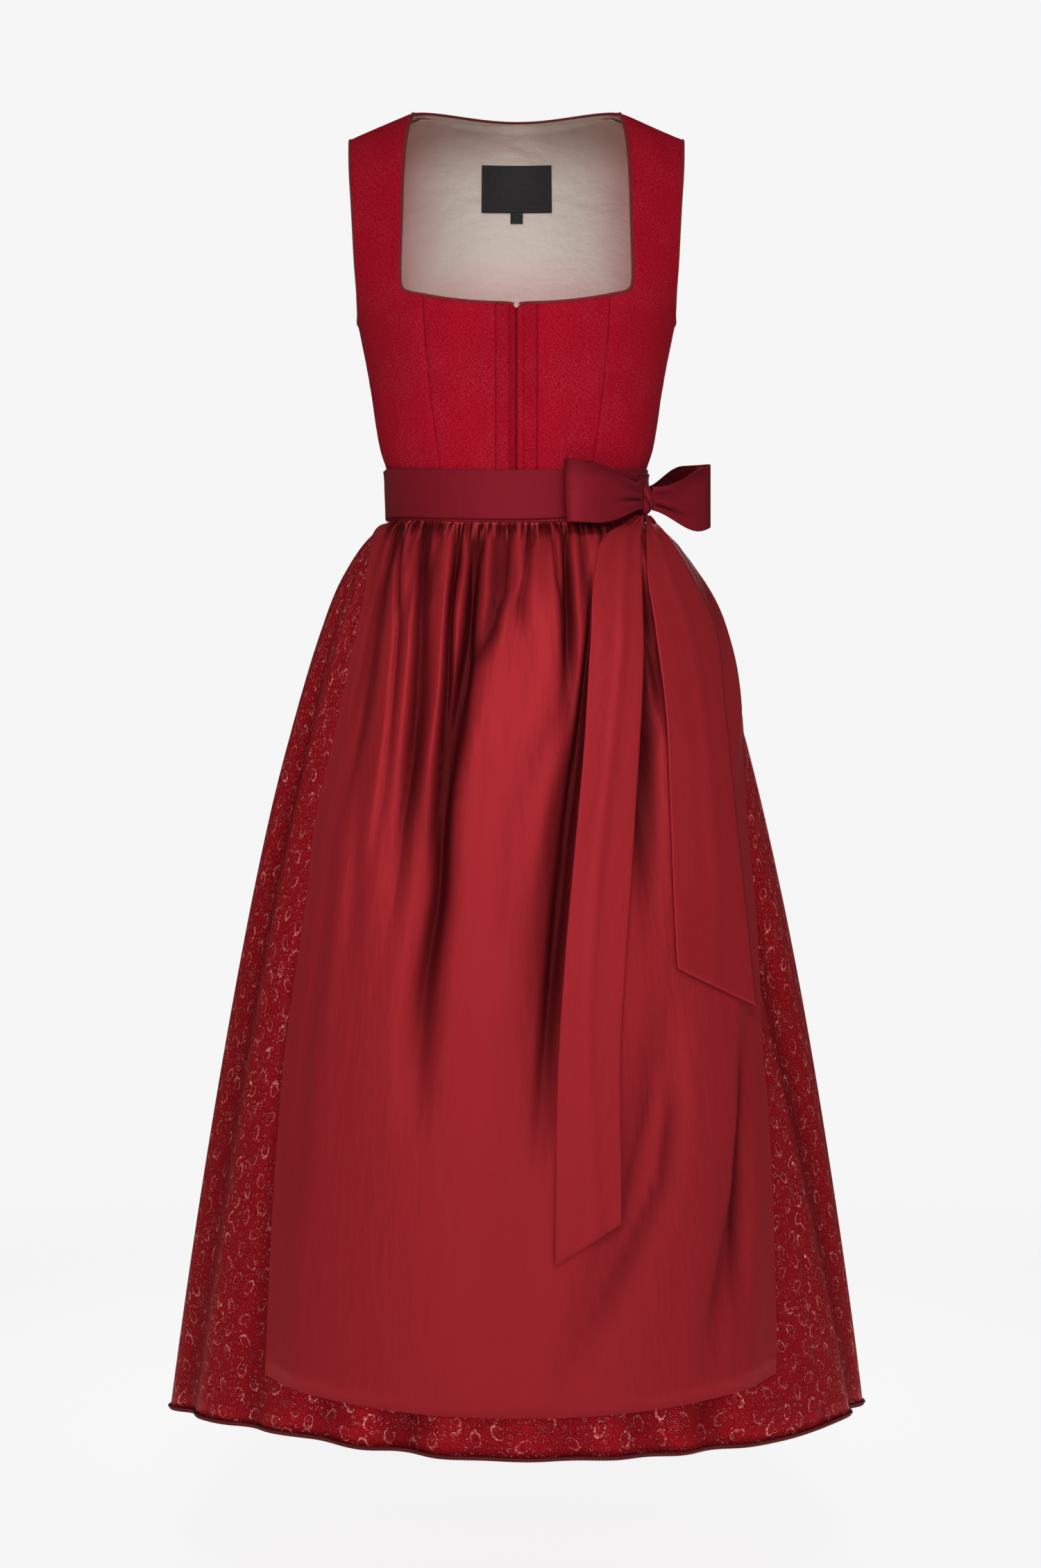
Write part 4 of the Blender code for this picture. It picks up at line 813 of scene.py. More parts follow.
def front_panel(side):
    """The panel between the front opening and the front seam, with the placket's stitched channels."""
    v, u = grid(np.linspace(0, 1, 60), np.linspace(0, 1, 130))
    seam = read(FRONT_SEAM, WAIST_SEAM + (ARMPIT - WAIST_SEAM) * v) - WOOL_GAP / 2
    across = SEAM_GAP / 2 + (seam - SEAM_GAP / 2) * u
    height = WAIST_SEAM + (neck_front_height(across) - WAIST_SEAM) * v
    angle = side * figure_angle(across, height)
    raised = ease(*PLACKET_STARTS, across) * (1 - ease(*PLACKET_ENDS, across))
    inner, outer = (across - groove for groove in PLACKET_GROOVES)
    relief = 0.0007 * raised - 0.0009 * (0.6 * bump(inner, 0.0012) + bump(outer, 0.0010))
    relief += seam_relief(seam - across, height, 3 + side) - 0.0022 * bump(across, 0.0013)
    relief += wool_relief(figure_point(angle, height), 5 + side) * calm(seam - across)
    # Painted shade along the placket's grooves, on its raised channel, and in the front opening.
    lines = 0.55 * bump(outer, 0.0009) + 0.30 * bump(inner, 0.0010) + 0.10 * raised
    opening = 0.9 * bump(across, 0.0012) + (0.35 * bump(across - 0.0040, 0.0030) if side < 0 else 0.0)
    name = "front_" + hand(side)
    made = wool_panel(name, "bodice_" + name, lifted(angle, height, relief), side,
                      np.minimum(1.0, lines + opening))


def front_inner_across(height):
    """The inner edge of a side front: its seam, the end of the neckline, then the strap's edge."""
    seam_top = neck_front_height(read(FRONT_SEAM, -0.2))
    corner = STRAP_INNER["height"][0]
    start = read(FRONT_SEAM, seam_top) + WOOL_GAP / 2
    share = np.clip((height - seam_top) / (corner - seam_top), 0, 1)
    turn = start + (STRAP_INNER["across"][0] - start) * share
    low = read(FRONT_SEAM, height) + WOOL_GAP / 2
    return np.where(height <= seam_top, low, np.where(height <= corner, turn, read(STRAP_INNER, height)))


def side_panel(name, side, heights, columns, inner, behind, seeds):
    """A panel from the side seam to an inner edge, whose angles are given by height."""
    height, u = grid(heights, np.linspace(0, 1, columns))
    inner, outer = inner(height), armhole_angle(height, behind)
    inset = inset_angle(outer, 180.0 * behind, figure_point, height, WOOL_GAP / 2)
    outer = np.where(height <= ARMPIT, inset, outer)
    first, last = (outer, inner) if behind else (inner, outer)
    angle = side * (first + (last - first) * u)
    flat = figure_point(angle, height)
    width = size_of(flat[:, -1] - flat[:, 0])[:, None]
    from_inner, from_outer = ((1 - u, u) if behind else (u, 1 - u))
    from_inner, from_outer = from_inner * width, from_outer * width
    sewn = 1 - ease(ARMPIT - ARMPIT_FADE, ARMPIT + ARMPIT_FADE, height)
    relief = seam_relief(from_inner, height, seeds[0] + side)
    relief += seam_relief(from_outer, height, seeds[1]) * sewn
    if not behind:
        relief += wool_relief(flat, 15 + side) * calm(from_outer, from_inner)
    name = name + hand(side)
    return wool_panel(name, "bodice_" + name, lifted(angle, height, relief), side)


def side_front_panel(side):
    """The panel from the front seam to the side seam, with the strap up to the shoulder line."""
    heights = rows_between((WAIST_SEAM, 60), (ARMPIT, 6), (-0.1985, 8), (-0.1950, 12), (-0.1770, 60),
                           (-0.0100, 10), (-0.0010, 6), (SHOULDER_EDGE, 0))
    made = side_panel("side_front_", side, heights, 48,
                      lambda height: figure_angle(front_inner_across(height), height), False, (11, 13))


def back_seam_angle(height, gap):
    """The curved seam between the centre back and a side back."""
    return figure_angle(read(BACK_SEAM, height) + gap, height, True)


def side_back_panel(side):
    """The curved panel from the side seam to the back seam, ending at the armhole."""
    made = side_panel("side_back_", side, rows_between((WAIST_SEAM, 56), (ARMPIT, 32), (SIDE_BACK_TOP, 0)),
                      44, lambda height: back_seam_angle(height, WOOL_GAP / 2), True, (31, 33))


def back_outer_angle(height):
    """The outer edge of the centre back: its curved seam, then the armhole's edge."""
    seam = back_seam_angle(height, -WOOL_GAP / 2)
    return np.where(height < BACK_SEAM_TOP, seam, armhole_angle(height, True))


def back_place(share, height, outer):
    """Places on the back, raised towards the back neckline near the top."""
    angle = 180 - share * (180 - outer)
    across = np.minimum(1.0, np.abs(figure_point(angle, height)[..., 0]) / NECK_HALF_WIDTH)
    return angle, height + NECK_BACK_RISE * (1 - across**4) * ease(NECK_BACK_FADE, 0.0, height)


def back_panel():
    """The centre back panel, which carries both back straps and the back neckline."""
    heights = rows_between((WAIST_SEAM, 44), (-0.1340, 4), (BACK_SEAM_TOP, 30), (-0.0100, 10),
                           (-0.0010, 6), (SHOULDER_EDGE, 0))
    height, share = grid(heights, np.linspace(1, -1, 89))
    angle, raised = back_place(share, height, back_outer_angle(height))
    flat = figure_point(angle, raised)
    from_edge = (1 - np.abs(share)) * size_of(flat[:, :1] - flat[:, -1:]) / 2
    sewn = 1 - ease(BACK_SEAM_TOP - ARMPIT_FADE, BACK_SEAM_TOP, height)
    relief = seam_relief(from_edge, height, 21) * sewn + wool_relief(flat, 23) * calm(from_edge)
    made = wool_panel("back_panel", "bodice_back", lifted(angle, raised, relief))


def back_lining():
    """The lining of the whole back, inside the bodice, with soft drag lines."""
    height, share = grid(rows_between((WAIST_SEAM, 40), (ARMPIT, 56), (-0.010, 6), (LINING_TOP, 0)),
                         np.linspace(1, -1, 97))
    outer = inset_angle(armhole_angle(height, True), 180.0, figure_point, height, 2 * BODICE_CLOTH)
    angle, raised = back_place(share, height, outer)
    x, z = np.moveaxis(figure_point(angle, raised)[..., ::2], -1, 0)
    wrinkle = soft_noise(x / 0.060, (z + 0.35 * x) / 0.011, 41) * ease(-0.11, -0.03, height)
    wrinkle += soft_noise(x / 0.035, z / 0.050, 42) * 0.6
    lift = LINING_LIFT - 0.0009 * (wrinkle * 0.5 + 0.4)
    made = sheet("lining", "lining_back", lifted(angle, raised, lift), LINING_CLOTH, "lining")


def woven_label(name, node, half_width, top, bottom):
    """A bare woven label on the lining, with its edges turned under."""
    height, across = grid(np.linspace(bottom, top, 30), np.linspace(half_width, -half_width, 44))
    angle = np.where(np.abs(across) < 1e-9, 180.0, figure_angle(across, height, True))
    from_edge = np.minimum(half_width - np.abs(across), np.minimum(top - height, height - bottom))
    lift = LABEL_LIFT + 0.0003 * (1 - ease(0.0, 0.0016, from_edge)) - 0.0002 * bump(from_edge - 0.004, 0.001)
    made = sheet(name, node, lifted(angle, height, lift), LINING_CLOTH, "label")


# Twisted cords

def evenly(points, step, closed):
    """A line of points spaced evenly, about step apart."""
    if closed:
        points = np.concatenate([points, points[:1]])
    along = np.concatenate([[0.0], np.cumsum(size_of(np.diff(points, axis=0)))])
    places = np.linspace(0, along[-1], int(along[-1] / step) + 1)[:-1 if closed else None]
    return np.stack([np.interp(places, along, points[:, axis]) for axis in range(3)], axis=-1)


def smoothed(points, passes, closed):
    """A line of points with its corners eased. An open one keeps its ends."""
    for _ in range(passes):
        eased = (np.roll(points, 1, axis=0) + 2 * points + np.roll(points, -1, axis=0)) / 4
        points = eased if closed else np.concatenate([points[:1], eased[1:-1], points[-1:]])
    return points


def direction(points, closed):
    if closed:
        return unit(np.roll(points, -1, axis=0) - np.roll(points, 1, axis=0))
    return unit(np.gradient(points, axis=0))


def twisted_cord(name, path, closed, ply, sides, nodes, sizes):
    """Two plies twisted round each other along a line of points, which are spaced evenly first."""
    path = evenly(path, sizes.cord_pitch / CORD_STEPS, closed)
    along = direction(path, closed)
    away = unit(square_to(unit(path * (1, 1, 0) + (0, 0, 1e-4)), along))
    beside = np.cross(along, away)
    length = size_of(np.diff(path, axis=0)).sum() + (size_of(path[0] - path[-1]) if closed else 0.0)
    turns = max(1, round(length / sizes.cord_pitch)) if closed else length / sizes.cord_pitch
    at = np.arange(len(path)) / (len(path) if closed else len(path) - 1)
    around = 2 * math.pi * np.arange(sides)[:, None] / sides
    points, faces, cut, hollow = [], [], [], []
    for number in range(2):
        turn = (2 * math.pi * turns * at + math.pi * number)[:, None]
        middle = path + PLY_APART * ply * (np.cos(turn) * away + np.sin(turn) * beside)
        ahead = direction(middle, closed)
        up = unit(square_to(away, ahead))
        ring = np.cos(around) * up[:, None] + np.sin(around) * np.cross(ahead, up)[:, None]
        ring = middle[:, None] + ply * ring
        points.append(ring.reshape(-1, 3))
        # Painted shade: 0 on a ply's crown and 1 where the two plies meet; the cord's material paints
        # highlights and shade from it.
        hollow.append(np.clip((1.75 - size_of(ring - path[:, None]) / ply) / 0.9, 0, 1).ravel())
        index = (number * len(path) * sides + np.arange(len(path) * sides)).reshape(len(path), sides)
        index = np.concatenate([index, index[:, :1]], axis=1)
        place = np.stack(grid(at * length, np.arange(sides + 1) / sides * 0.006), -1)
        if closed:
            index = np.concatenate([index, index[:1]])
            place = np.concatenate([place, place[:1] + (length, 0)])
        faces += quads(index).reshape(-1, 4).tolist()
        cut.append(quads(place).ravel())
        if not closed:
            faces += [index[0, :-1][::-1].tolist(), index[-1, :-1].tolist()]
            cut.append(np.zeros(4 * sides))
    points, cut, hollow = (np.concatenate(parts) for parts in (points, cut, hollow))
    piece(name, mesh_of(name, points, faces, cut, hollow), nodes, "cord")


def edge_cord(name, edge, inside, closed, passes, node, sizes):
    """A cord against the edge of a cloth. Edge and inside hold lines of angles and heights."""
    edge, inside = (np.concatenate([figure_point(*line) for line in lines]) for lines in (edge, inside))
    if not closed:
        edge, inside = (np.concatenate([line, line[-2::-1] * (-1, 1, 1)]) for line in (edge, inside))
    off = unit(square_to(edge - inside, direction(edge, closed)))
    path = smoothed(evenly(edge + off * TRIM_REACH, TRIM_STEP, closed), passes, closed)
    twisted_cord(name, path, closed, sizes.cord_ply, 6, [node], sizes)


def neck_cord(sizes):
    """The cord round the whole neckline, with its two ends at the front notch."""
    across = np.linspace(0.0035, 0.098, 60)
    low = neck_front_height(across)
    ahead = figure_angle(across, low)
    strap = rows_between((-0.1950, 16), (-0.1770, 60), (-0.0100, 12), (SHOULDER_EDGE, 0))
    inner = figure_angle(read(STRAP_INNER, strap), strap)
    outer, outer_below = armhole_angle(SHOULDER_EDGE, True), back_outer_angle(-0.0025)
    first = (180 - figure_angle(NECK_HALF_WIDTH, SHOULDER_EDGE, True)) / (180 - outer)
    share = np.linspace(first, 0.0, 60)
    edge = ((ahead, low), (inner, strap), back_place(share, np.full(60, SHOULDER_EDGE), outer))
    inside = ((ahead, low - 0.004), (inner + 1, strap), back_place(share, np.full(60, -0.0025), outer_below))
    edge_cord("neck_cord", edge, inside, False, 16, "neck_trim", sizes)


def armhole_cord(side, sizes):
    """The cord round one armhole."""
    height = rows_between((SHOULDER_EDGE, 8), (-0.0100, 70), (-0.2070, 6), (-0.2125, 0))
    back = height[:0:-1]
    ahead, behind = armhole_angle(height, False), armhole_angle(back, True)
    foot, low = np.array([side * 90.0]), np.array([ARMPIT])
    edge = ((side * ahead, height), (foot, low), (side * behind, back))
    inside = ((side * (ahead - 1), height - 0.001), (foot, low - 0.01), (side * (behind + 1), back - 0.001))
    name = hand(side)
    edge_cord("shoulders_cord_" + name, edge, inside, True, 6, "armhole_trim_" + name, sizes)


def hem_cord(sizes):
    """The two cords under the skirt's hem, which follow its folds."""
    angle = np.linspace(-180, 180, 1400, endpoint=False)
    path = skirt_out(angle, hem_height(angle), -skirt_fold(angle, hem_height(angle)))
    level = unit(path * (1, 1, 0))
    for name, (away, up, share), nodes in (("hem_cord", LOW_HEM_CORD, ["hem_trim"]),
                                           ("hem_cord_upper", HIGH_HEM_CORD, [])):
        twisted_cord(name, path + level * away + (0, 0, up), True, sizes.cord_ply * share, 4, nodes, sizes)


# The skirt

def between(values, share):
    return values[0] + (values[1] - values[0]) * share


def skirt_fold(angle, height):
    """How far the skirt's long folds lie in from the surface that its ridges touch."""
    total = np.zeros(np.broadcast(angle, height).shape)
    for *angles, top, half_width, depth in SKIRT_FOLDS:
        middle = between(angles, np.clip((top - height) / (top - HEM), 0, 1))
        total += depth * bump(wrapped(angle - middle), half_width) * ease(top, top - SKIRT_FOLD_RUN, height)
    return SKIRT_FOLD_TOTAL * np.tanh(total / SKIRT_FOLD_TOTAL)


def hem_height(angle):
    return HEM + read(HEM_LINE, wrapped(angle), "rise")


def gathers(place, height, ends, spacing, shortest, longest, depth, seed):
    """Valleys that run down from a gathered edge, each widening and fading along its own length."""
    chance = np.random.default_rng(seed)
    total = np.zeros(place.shape)
    below = np.maximum(0.0, BAND_BOTTOM - height)
    middle = ends[0]
    while middle < ends[1]:
        run = np.clip(below / (shortest + (longest - shortest) * chance.uniform() ** 2), 0, 1)
        away = place - middle - spacing * chance.uniform(-0.35, 0.35) * run
        width = spacing * (chance.uniform(0.15, 0.36) + 0.35 * run)
        total += depth * chance.uniform(0.35, 1.15) * bump(away, width) * (1 - run) ** 1.1
        middle += spacing * chance.uniform(0.55, 1.45)
    return total * ease(-0.001, 0.003, below)


def apron_edges(height):
    """The angles of the apron's right-hand and left-hand edges."""
    return read(APRON_EDGES, height, "right_hand"), read(APRON_EDGES, height, "left_hand")


def apron_sunk(angle, height):
    """How far the skirt gives way under the apron, which leaves its valleys their depth."""
    start, end = apron_edges(height)
    share = (wrapped(angle) - start) / (end - start)
    inner = ease(0.04, 0.16, np.minimum(share, 1 - share))
    return APRON_SINK * inner * ease(*SINK_STARTS, height) * (1 - ease(*SINK_ENDS, height))


def skirt_panel(name, node, start, end, count, columns, sizes, seed):
    """One length of the skirt, gathered at the waist, with its long folds down to the hem."""
    heights = rows_between((HEM, 40), (-0.600, 18), (-0.450, 20), (WAIST_SEAM - 2 * SEAM_GAP, 0))
    height, share = grid(heights, np.linspace(0, 1, columns))
    ends = (inset_angle(start, end, skirt_point, height, SEAM_GAP / 2),
            inset_angle(end, start, skirt_point, height, SEAM_GAP / 2))
    angle = between(ends, share)
    height = height + (hem_height(angle) - HEM) * (1 - ease(HEM, -1.150, height))
    gathered = gathers(share * count, height, (0, count), 1.0, 0.06, 0.30, sizes.skirt_gather, seed)
    gathered += gathers(share * count, height, (0, count), 2.0, 0.20, 0.75, 0.0045, seed + 1)
    gathered *= ease(0.0, 1.0 / count, share) * ease(0.0, 1.0 / count, 1 - share)
    ripple = 0.0016 * (0.5 + 0.5 * soft_noise(angle / 3.2, height / 0.30, 52)) * ease(-0.45, -0.60, height)
    fold = skirt_fold(angle, height)
    from_edge = np.minimum(share, 1 - share) * np.radians(end - start) * 0.30
    inward = fold + gathered + ripple + apron_sunk(angle, height) + 0.0012 * bump(from_edge, 0.0020)
    points = skirt_out(angle, height, -inward)
    cut = metres(points)
    width = size_of(np.diff(points[0], axis=0)).sum() * 1.04
    cut[..., 0] = (share - 0.5) * width
    # Painted shade, deeper in the gathers and the long folds.
    hollow = 1 - np.exp(-((gathered + 0.5 * fold) / 0.0085) ** 1.4)
    made = sheet(name, node, points, SKIRT_CLOTH, "jacquard", cut=cut, hollow=hollow)


# The apron

def apron_fold(across, height):
    """How far the apron lies in from its ridges, at a share across it and a height."""
    total = np.zeros(np.broadcast(across, height).shape)
    for *places, top, low, half_width, depth in APRON_FOLDS:
        middle = between(places, np.clip((top - height) / (top - low), 0, 1))
        grown = ease(top, top - APRON_FOLD_RUN, height)
        grown *= 1 - ease(low + APRON_FOLD_FADE[0], low + APRON_FOLD_FADE[1], height)
        total += depth * bump(across - middle, half_width) * grown
    return APRON_FOLD_TOTAL * np.tanh(total / APRON_FOLD_TOTAL)


def apron_creases(across, height):
    """The sharper valleys within the apron's long folds, at a distance from the centre."""
    total = np.zeros(across.shape)
    for heights, places, sides, depth in APRON_CREASES:
        low, top = heights[0], heights[-1]
        away = across - np.interp(height, heights, places)
        width = np.where(away < 0, *sides) * (1 + 1.2 * ease(top, low, height))
        start = 0.008 if top > FLARE_TOP else 0.25 * (top - low)
        grown = ease(top, top - start, height) * ease(low, low + 0.45 * (top - low), height)
        total += depth * bump(away, width) * grown
    return total


def apron_place(angle, height):
    """A coordinate in metres across the apron, whose lines hang nearly straight down from the band."""
    points = skirt_point(angle, height)
    behind = points[..., 1] - skirt_point(np.zeros_like(angle), height)[..., 1]
    spread = 1 + 0.9 * np.maximum(0.0, BAND_BOTTOM - height)
    return (points[..., 0] + np.copysign(0.6 * behind, angle)) / spread


def apron_shares(heights, columns):
    """The shares across the apron of columns that run along its gathers, for each height."""
    rows, share = [], np.linspace(0, 1, 800)
    for height in heights:
        place = apron_place(between(apron_edges(height), share), np.full(800, height))
        rows.append(np.interp(np.linspace(place[0], place[-1], columns), place, share))
    return np.stack(rows)


def apron_skirt(sizes):
    """The apron's skirt, gathered into its band."""
    heights = rows_between((APRON_HEM, 34), (-0.640, 14), (-0.500, 20), (-0.440, 28),
                           (BAND_BOTTOM - SEAM_GAP, 0))
    share = apron_shares(heights, 501)
    height = np.broadcast_to(heights[:, None], share.shape)
    rise = APRON_HEM_RISE * (2 * share - 1) ** 2
    height = height + rise * (1 - ease(APRON_HEM, -1.100, height))
    angle = between(apron_edges(height), share)
    place, depth, fold = apron_place(angle, height), sizes.apron_gather, apron_fold(share, height)
    gathered = sum(gathers(place, height, APRON_REACH, spacing, shortest, longest, part * depth, seed)
                   for spacing, shortest, longest, part, seed in APRON_GATHERS)
    gathered = depth * 1.5 * np.tanh(gathered / (depth * 1.5))
    puffed = 1.1 * depth * ease(-0.001, 0.004, BAND_BOTTOM - height) * (1 - ease(-0.44, -0.62, height))
    from_edge = ease(0.0, APRON_EDGE_RUN, np.minimum(share, 1 - share))
    raised = (APRON_FOLD_TOTAL - 0.62 * fold) * ease(*APRON_FREE, height)
    raised *= APRON_EDGE_RAISED + (1 - APRON_EDGE_RAISED) * from_edge
    valleys = gathered + apron_creases(skirt_out(angle, height, 0.010)[..., 0], height)
    raised += puffed - valleys * (0.25 + 0.75 * from_edge)
    hem_fold = 0.0004 * bump(height - rise - APRON_HEM - 0.040, 0.0012) * (1 - ease(-1.18, -1.15, height))
    least = APRON_LIFT - apron_sunk(angle, height)
    over = (APRON_LIFT + raised - hem_fold - least) / APRON_SOFTNESS
    lift = least + np.logaddexp(0, over) * APRON_SOFTNESS
    lift = BAND_LIFT + (lift - BAND_LIFT) * ease(BAND_BOTTOM, APRON_LEAVES_BAND, height)
    # Painted shade, deeper in the valleys, gathers and long folds.
    hollow = 1 - np.exp(-((valleys + 0.4 * gathered + 0.2 * fold) / 0.0072) ** 2)
    made = sheet("apron_length", "apron", skirt_out(angle, height, lift), SKIRT_CLOTH, "gathered",
                 cut=np.stack([place * 2.6, height], axis=-1), hollow=hollow)


# The band, the tie and the bow

def waistband():
    """The apron's band, whose lower edge is puckered by the gathers and shows below the tie."""
    v, angle = grid(np.array(BAND_ROWS), np.linspace(-BAND_REACH, BAND_REACH, 620))
    pucker = 0.5 + 0.5 * np.sin(np.radians(angle) * 235 + 1.5 * np.sin(angle * 0.9))
    relief = 0.0002 * bump(v, 0.03) + 0.0006 * pucker * bump(v - 0.030, 0.030)
    points = lifted(angle, between((BAND_BOTTOM, BAND_TOP), v), BAND_LIFT + relief)
    made = sheet("apron_waistband", "apron_band", points, BAND_CLOTH, "band")


def tie():
    """The tie, wrapped once round the waist over the band, and drawn in towards the knot."""
    v, angle = grid(np.linspace(0, 1, 24), KNOT_ANGLE + np.linspace(0, 360 - TIE_JOIN, 400))
    from_knot = wrapped(angle - KNOT_ANGLE)
    near = bump(from_knot, 34.0)
    pleats = 0.0009 * np.sin(v * 15 + 2.5 * np.sin(angle * 0.06)) * bump(from_knot, 22.0)
    relief = pleats + 0.0003 * soft_noise(angle / 14, v * 1.5, 71) + 0.0002
    height = between((TIE_BOTTOM + 0.0085 * near, TIE_TOP - 0.0040 * near), v)
    made = sheet("waist_tie", "tie_wrap", lifted(angle, height, TIE_LIFT + relief), BAND_CLOTH, "band")


def knot_frame():
    """The knot's middle, and the level direction away from the body there."""
    stand_off = TIE_LIFT + BAND_CLOTH / 2 + SEAM_GAP + KNOT_HALF[1]
    middle = lifted(KNOT_ANGLE, KNOT_HEIGHT, stand_off)
    return middle, unit((middle - figure_point(KNOT_ANGLE, KNOT_HEIGHT)) * (1, 1, 0))


def bow_knot():
    """The wrapped knot: an upright rounded lump of satin with slanting folds, and painted shade in them."""
    middle, out = knot_frame()
    up, turn = grid(np.radians(np.linspace(-89, 89, 44)),
                    np.radians(np.linspace(0, 360, 72, endpoint=False)))
    folds = 0.34 * np.abs(np.sin(1.5 * turn + 2.3 * np.sin(up) + 0.4)) ** 0.6 - 0.21
    level = (np.cos(up) ** 0.8 * (1 + folds * np.cos(up) ** 0.7))[..., None]
    turn, up = turn[..., None], up[..., None]
    points = (middle + KNOT_HALF[0] * level * np.cos(turn) * (-out[1], out[0], 0.0)
              + KNOT_HALF[1] * level * np.sin(turn) * -out + KNOT_HALF[2] * np.sin(up) * (0, 0, 1))
    index = np.arange(44 * 72).reshape(44, 72)
    index = np.concatenate([index, index[:, :1]], axis=1)
    cut = np.stack(grid(np.linspace(0, 0.04, 44), np.linspace(0, 0.055, 73))[::-1], -1)
    # The knot's folds get painted shade.
    mesh = mesh_of("tie_knot", points, quads(index).reshape(-1, 4).tolist(), quads(cut),
                   np.clip(-folds / 0.17, 0, 1) ** 1.5)
    piece("tie_knot", mesh, ["bow_knot"], "band")


def loop_gap(along, full):
    """Half the space between a loop's two layers, from the knot (0) to its end (1)."""
    opened = between((LOOP_PINCHED_GAP, full), 1 - (1 - along) ** 2)
    return opened * np.sqrt(np.maximum(0.0, 1 - along**6))


def loop_half_height(along):
    return between((LOOP_PINCHED_HALF, RIBBON_WIDTH / 2), ease(0.0, LOOP_OPEN_BY, along))


def loop_grid():
    """Places on a loop: out along the layer away from the body, round its end, and back."""
    out = np.sin(np.linspace(0, math.pi / 2, 46))
    share, along = grid(np.linspace(-1, 1, 34), np.concatenate([out, out[-2::-1]]))
    return share, along, np.broadcast_to(np.repeat([1.0, -1.0], [46, 45]), share.shape)


def pleat(share, along, seed):
    """The pleats that spread from the knot into a loop."""
    fans = np.sin(share * 7.5 + seed) * 0.6 + np.sin(share * 12.0 + 2 * seed) * 0.4
    return 0.0019 * fans * (1 - ease(0.05, 0.62, along)) * ease(0.0, 0.10, along)


def loop_painted_shade(share, along, layer, seed):
    """The painted shade on a loop: on its layer behind, in its pleats and along its upper edge."""
    pleats = np.clip(-pleat(share, along, seed) / 0.0016, 0, 1)
    upper = 0.45 * ease(0.35, 1.0, share) * ease(0.1, 0.6, along)
    return np.minimum(1.0, np.where(layer > 0, np.maximum(pleats, upper), 0.85 * (1 - ease(0.9, 1.0, along))))


def front_loop():
    """The bow's loop that lies over the front of the band."""
    share, along, layer = loop_grid()
    gap = (loop_gap(along, FRONT_LOOP_GAP) + pleat(share, along, FRONT_LOOP_SEED)) * layer
    stand_off = FRONT_LOOP_STAND + FRONT_LOOP_LIFT * along + gap
    stand_off += FRONT_LOOP_LEAN * np.maximum(0.0, -share) * along
    height = KNOT_HEIGHT + FRONT_LOOP_RISE * along + loop_half_height(along) * share
    height -= FRONT_LOOP_SAG * np.sin(math.pi * along) * (1 + layer) / 2 * ease(0.0, 1.0, share)
    points = lifted(between(FRONT_LOOP_ANGLES, along), np.full(along.shape, KNOT_HEIGHT), stand_off)
    points[..., 2] = height
    # Painted shade on the loop's back layer, pleats and upper edge.
    made = sheet("loop_front", "bow_loop_front", points, BAND_CLOTH, "band",
                 hollow=loop_painted_shade(share, along, layer, FRONT_LOOP_SEED))


def side_loop():
    """The bow's loop that stands out past the wearer's left side."""
    share, along, layer = loop_grid()
    onward = unit(np.array((*SIDE_LOOP_WAY, 0.0)))
    aside = np.array((onward[1], -onward[0], 0.0))
    gap = (loop_gap(along, SIDE_LOOP_GAP) + pleat(share, along, SIDE_LOOP_SEED)) * layer
    gap += SIDE_LOOP_LEAN * along
    reach = SIDE_LOOP_START + SIDE_LOOP_REACH * along
    points = knot_frame()[0] + reach[..., None] * onward + gap[..., None] * aside
    sag = SIDE_LOOP_SAG * np.sin(math.pi * along) * (1 + layer) / 2
    tuck = SIDE_LOOP_TUCK * np.sin(math.pi * along) * np.maximum(0.0, -share) * (1 - layer) / 2
    points[..., 2] = KNOT_HEIGHT + SIDE_LOOP_RISE * along - sag + loop_half_height(along) * share + tuck
    # Painted shade on the loop's back layer, pleats and upper edge, and darker towards its far end.
    shade = np.maximum(loop_painted_shade(share, along, layer, SIDE_LOOP_SEED), 0.55 * ease(0.70, 0.97, along))
    made = sheet("loop_side", "bow_loop_side", points, BAND_CLOTH, "band", hollow=shade)


def hanging_end(name, node, table, cut, seed):
    """One hanging end of the tie, from under the knot to its slanting cut."""
    v, u = grid(np.linspace(1, 0, 150), np.linspace(0, 1, 34))
    top = table["height"][-1]
    height = top + (between(cut, u) - top) * v**1.25
    edges = read(table, height, "right_edge"), read(table, height, "left_edge")
    angle = angle_at(between(edges, u), skirt_half_width(height))
    free = ease(0.02, 0.14, v)
    lift = read(table, height, "lift") + 0.0016 * free * (1 + soft_noise(height / 0.14, u * 1.6, seed))
    lift += 0.0012 * np.sin(u * 14 + seed) * (1 - ease(0.0, 0.16, v)) * ease(0.0, 0.02, v)
    lift += 0.0011 * bump(u - 0.52 - 0.1 * np.sin(height * 9 + seed), 0.10) * free
    made = sheet(name, node, skirt_out(angle, height, lift), BAND_CLOTH, "satin")


# Stitching

def stitches(name, angle, height, lift, length, colour):
    """A row of small stitches along a line on the figure. Each is a slim diamond lying on the cloth."""
    path = lifted(angle, height, np.full(len(height), lift))
    spaced = evenly(path, length + STITCH_GAP, False)
    out = outward(angle, height)[np.argmin(size_of(spaced[:, None] - path[None]), axis=1)]
    way = direction(spaced, False)
    arms = (way * (length / 2), np.cross(way, out) * -STITCH_HALF, out * -STITCH_HALF)
    corners = np.stack([spaced + sign * arm for arm in arms for sign in (-1, 1)], axis=1)
    shape = np.array(((0, 2, 4), (2, 1, 4), (1, 3, 4), (3, 0, 4), (2, 0, 5), (1, 2, 5), (3, 1, 5), (0, 3, 5)))
    faces = (np.arange(len(spaced))[:, None, None] * 6 + shape[None]).reshape(-1, 3)
    piece(name, mesh_of(name, corners, faces.tolist()), [], colour)


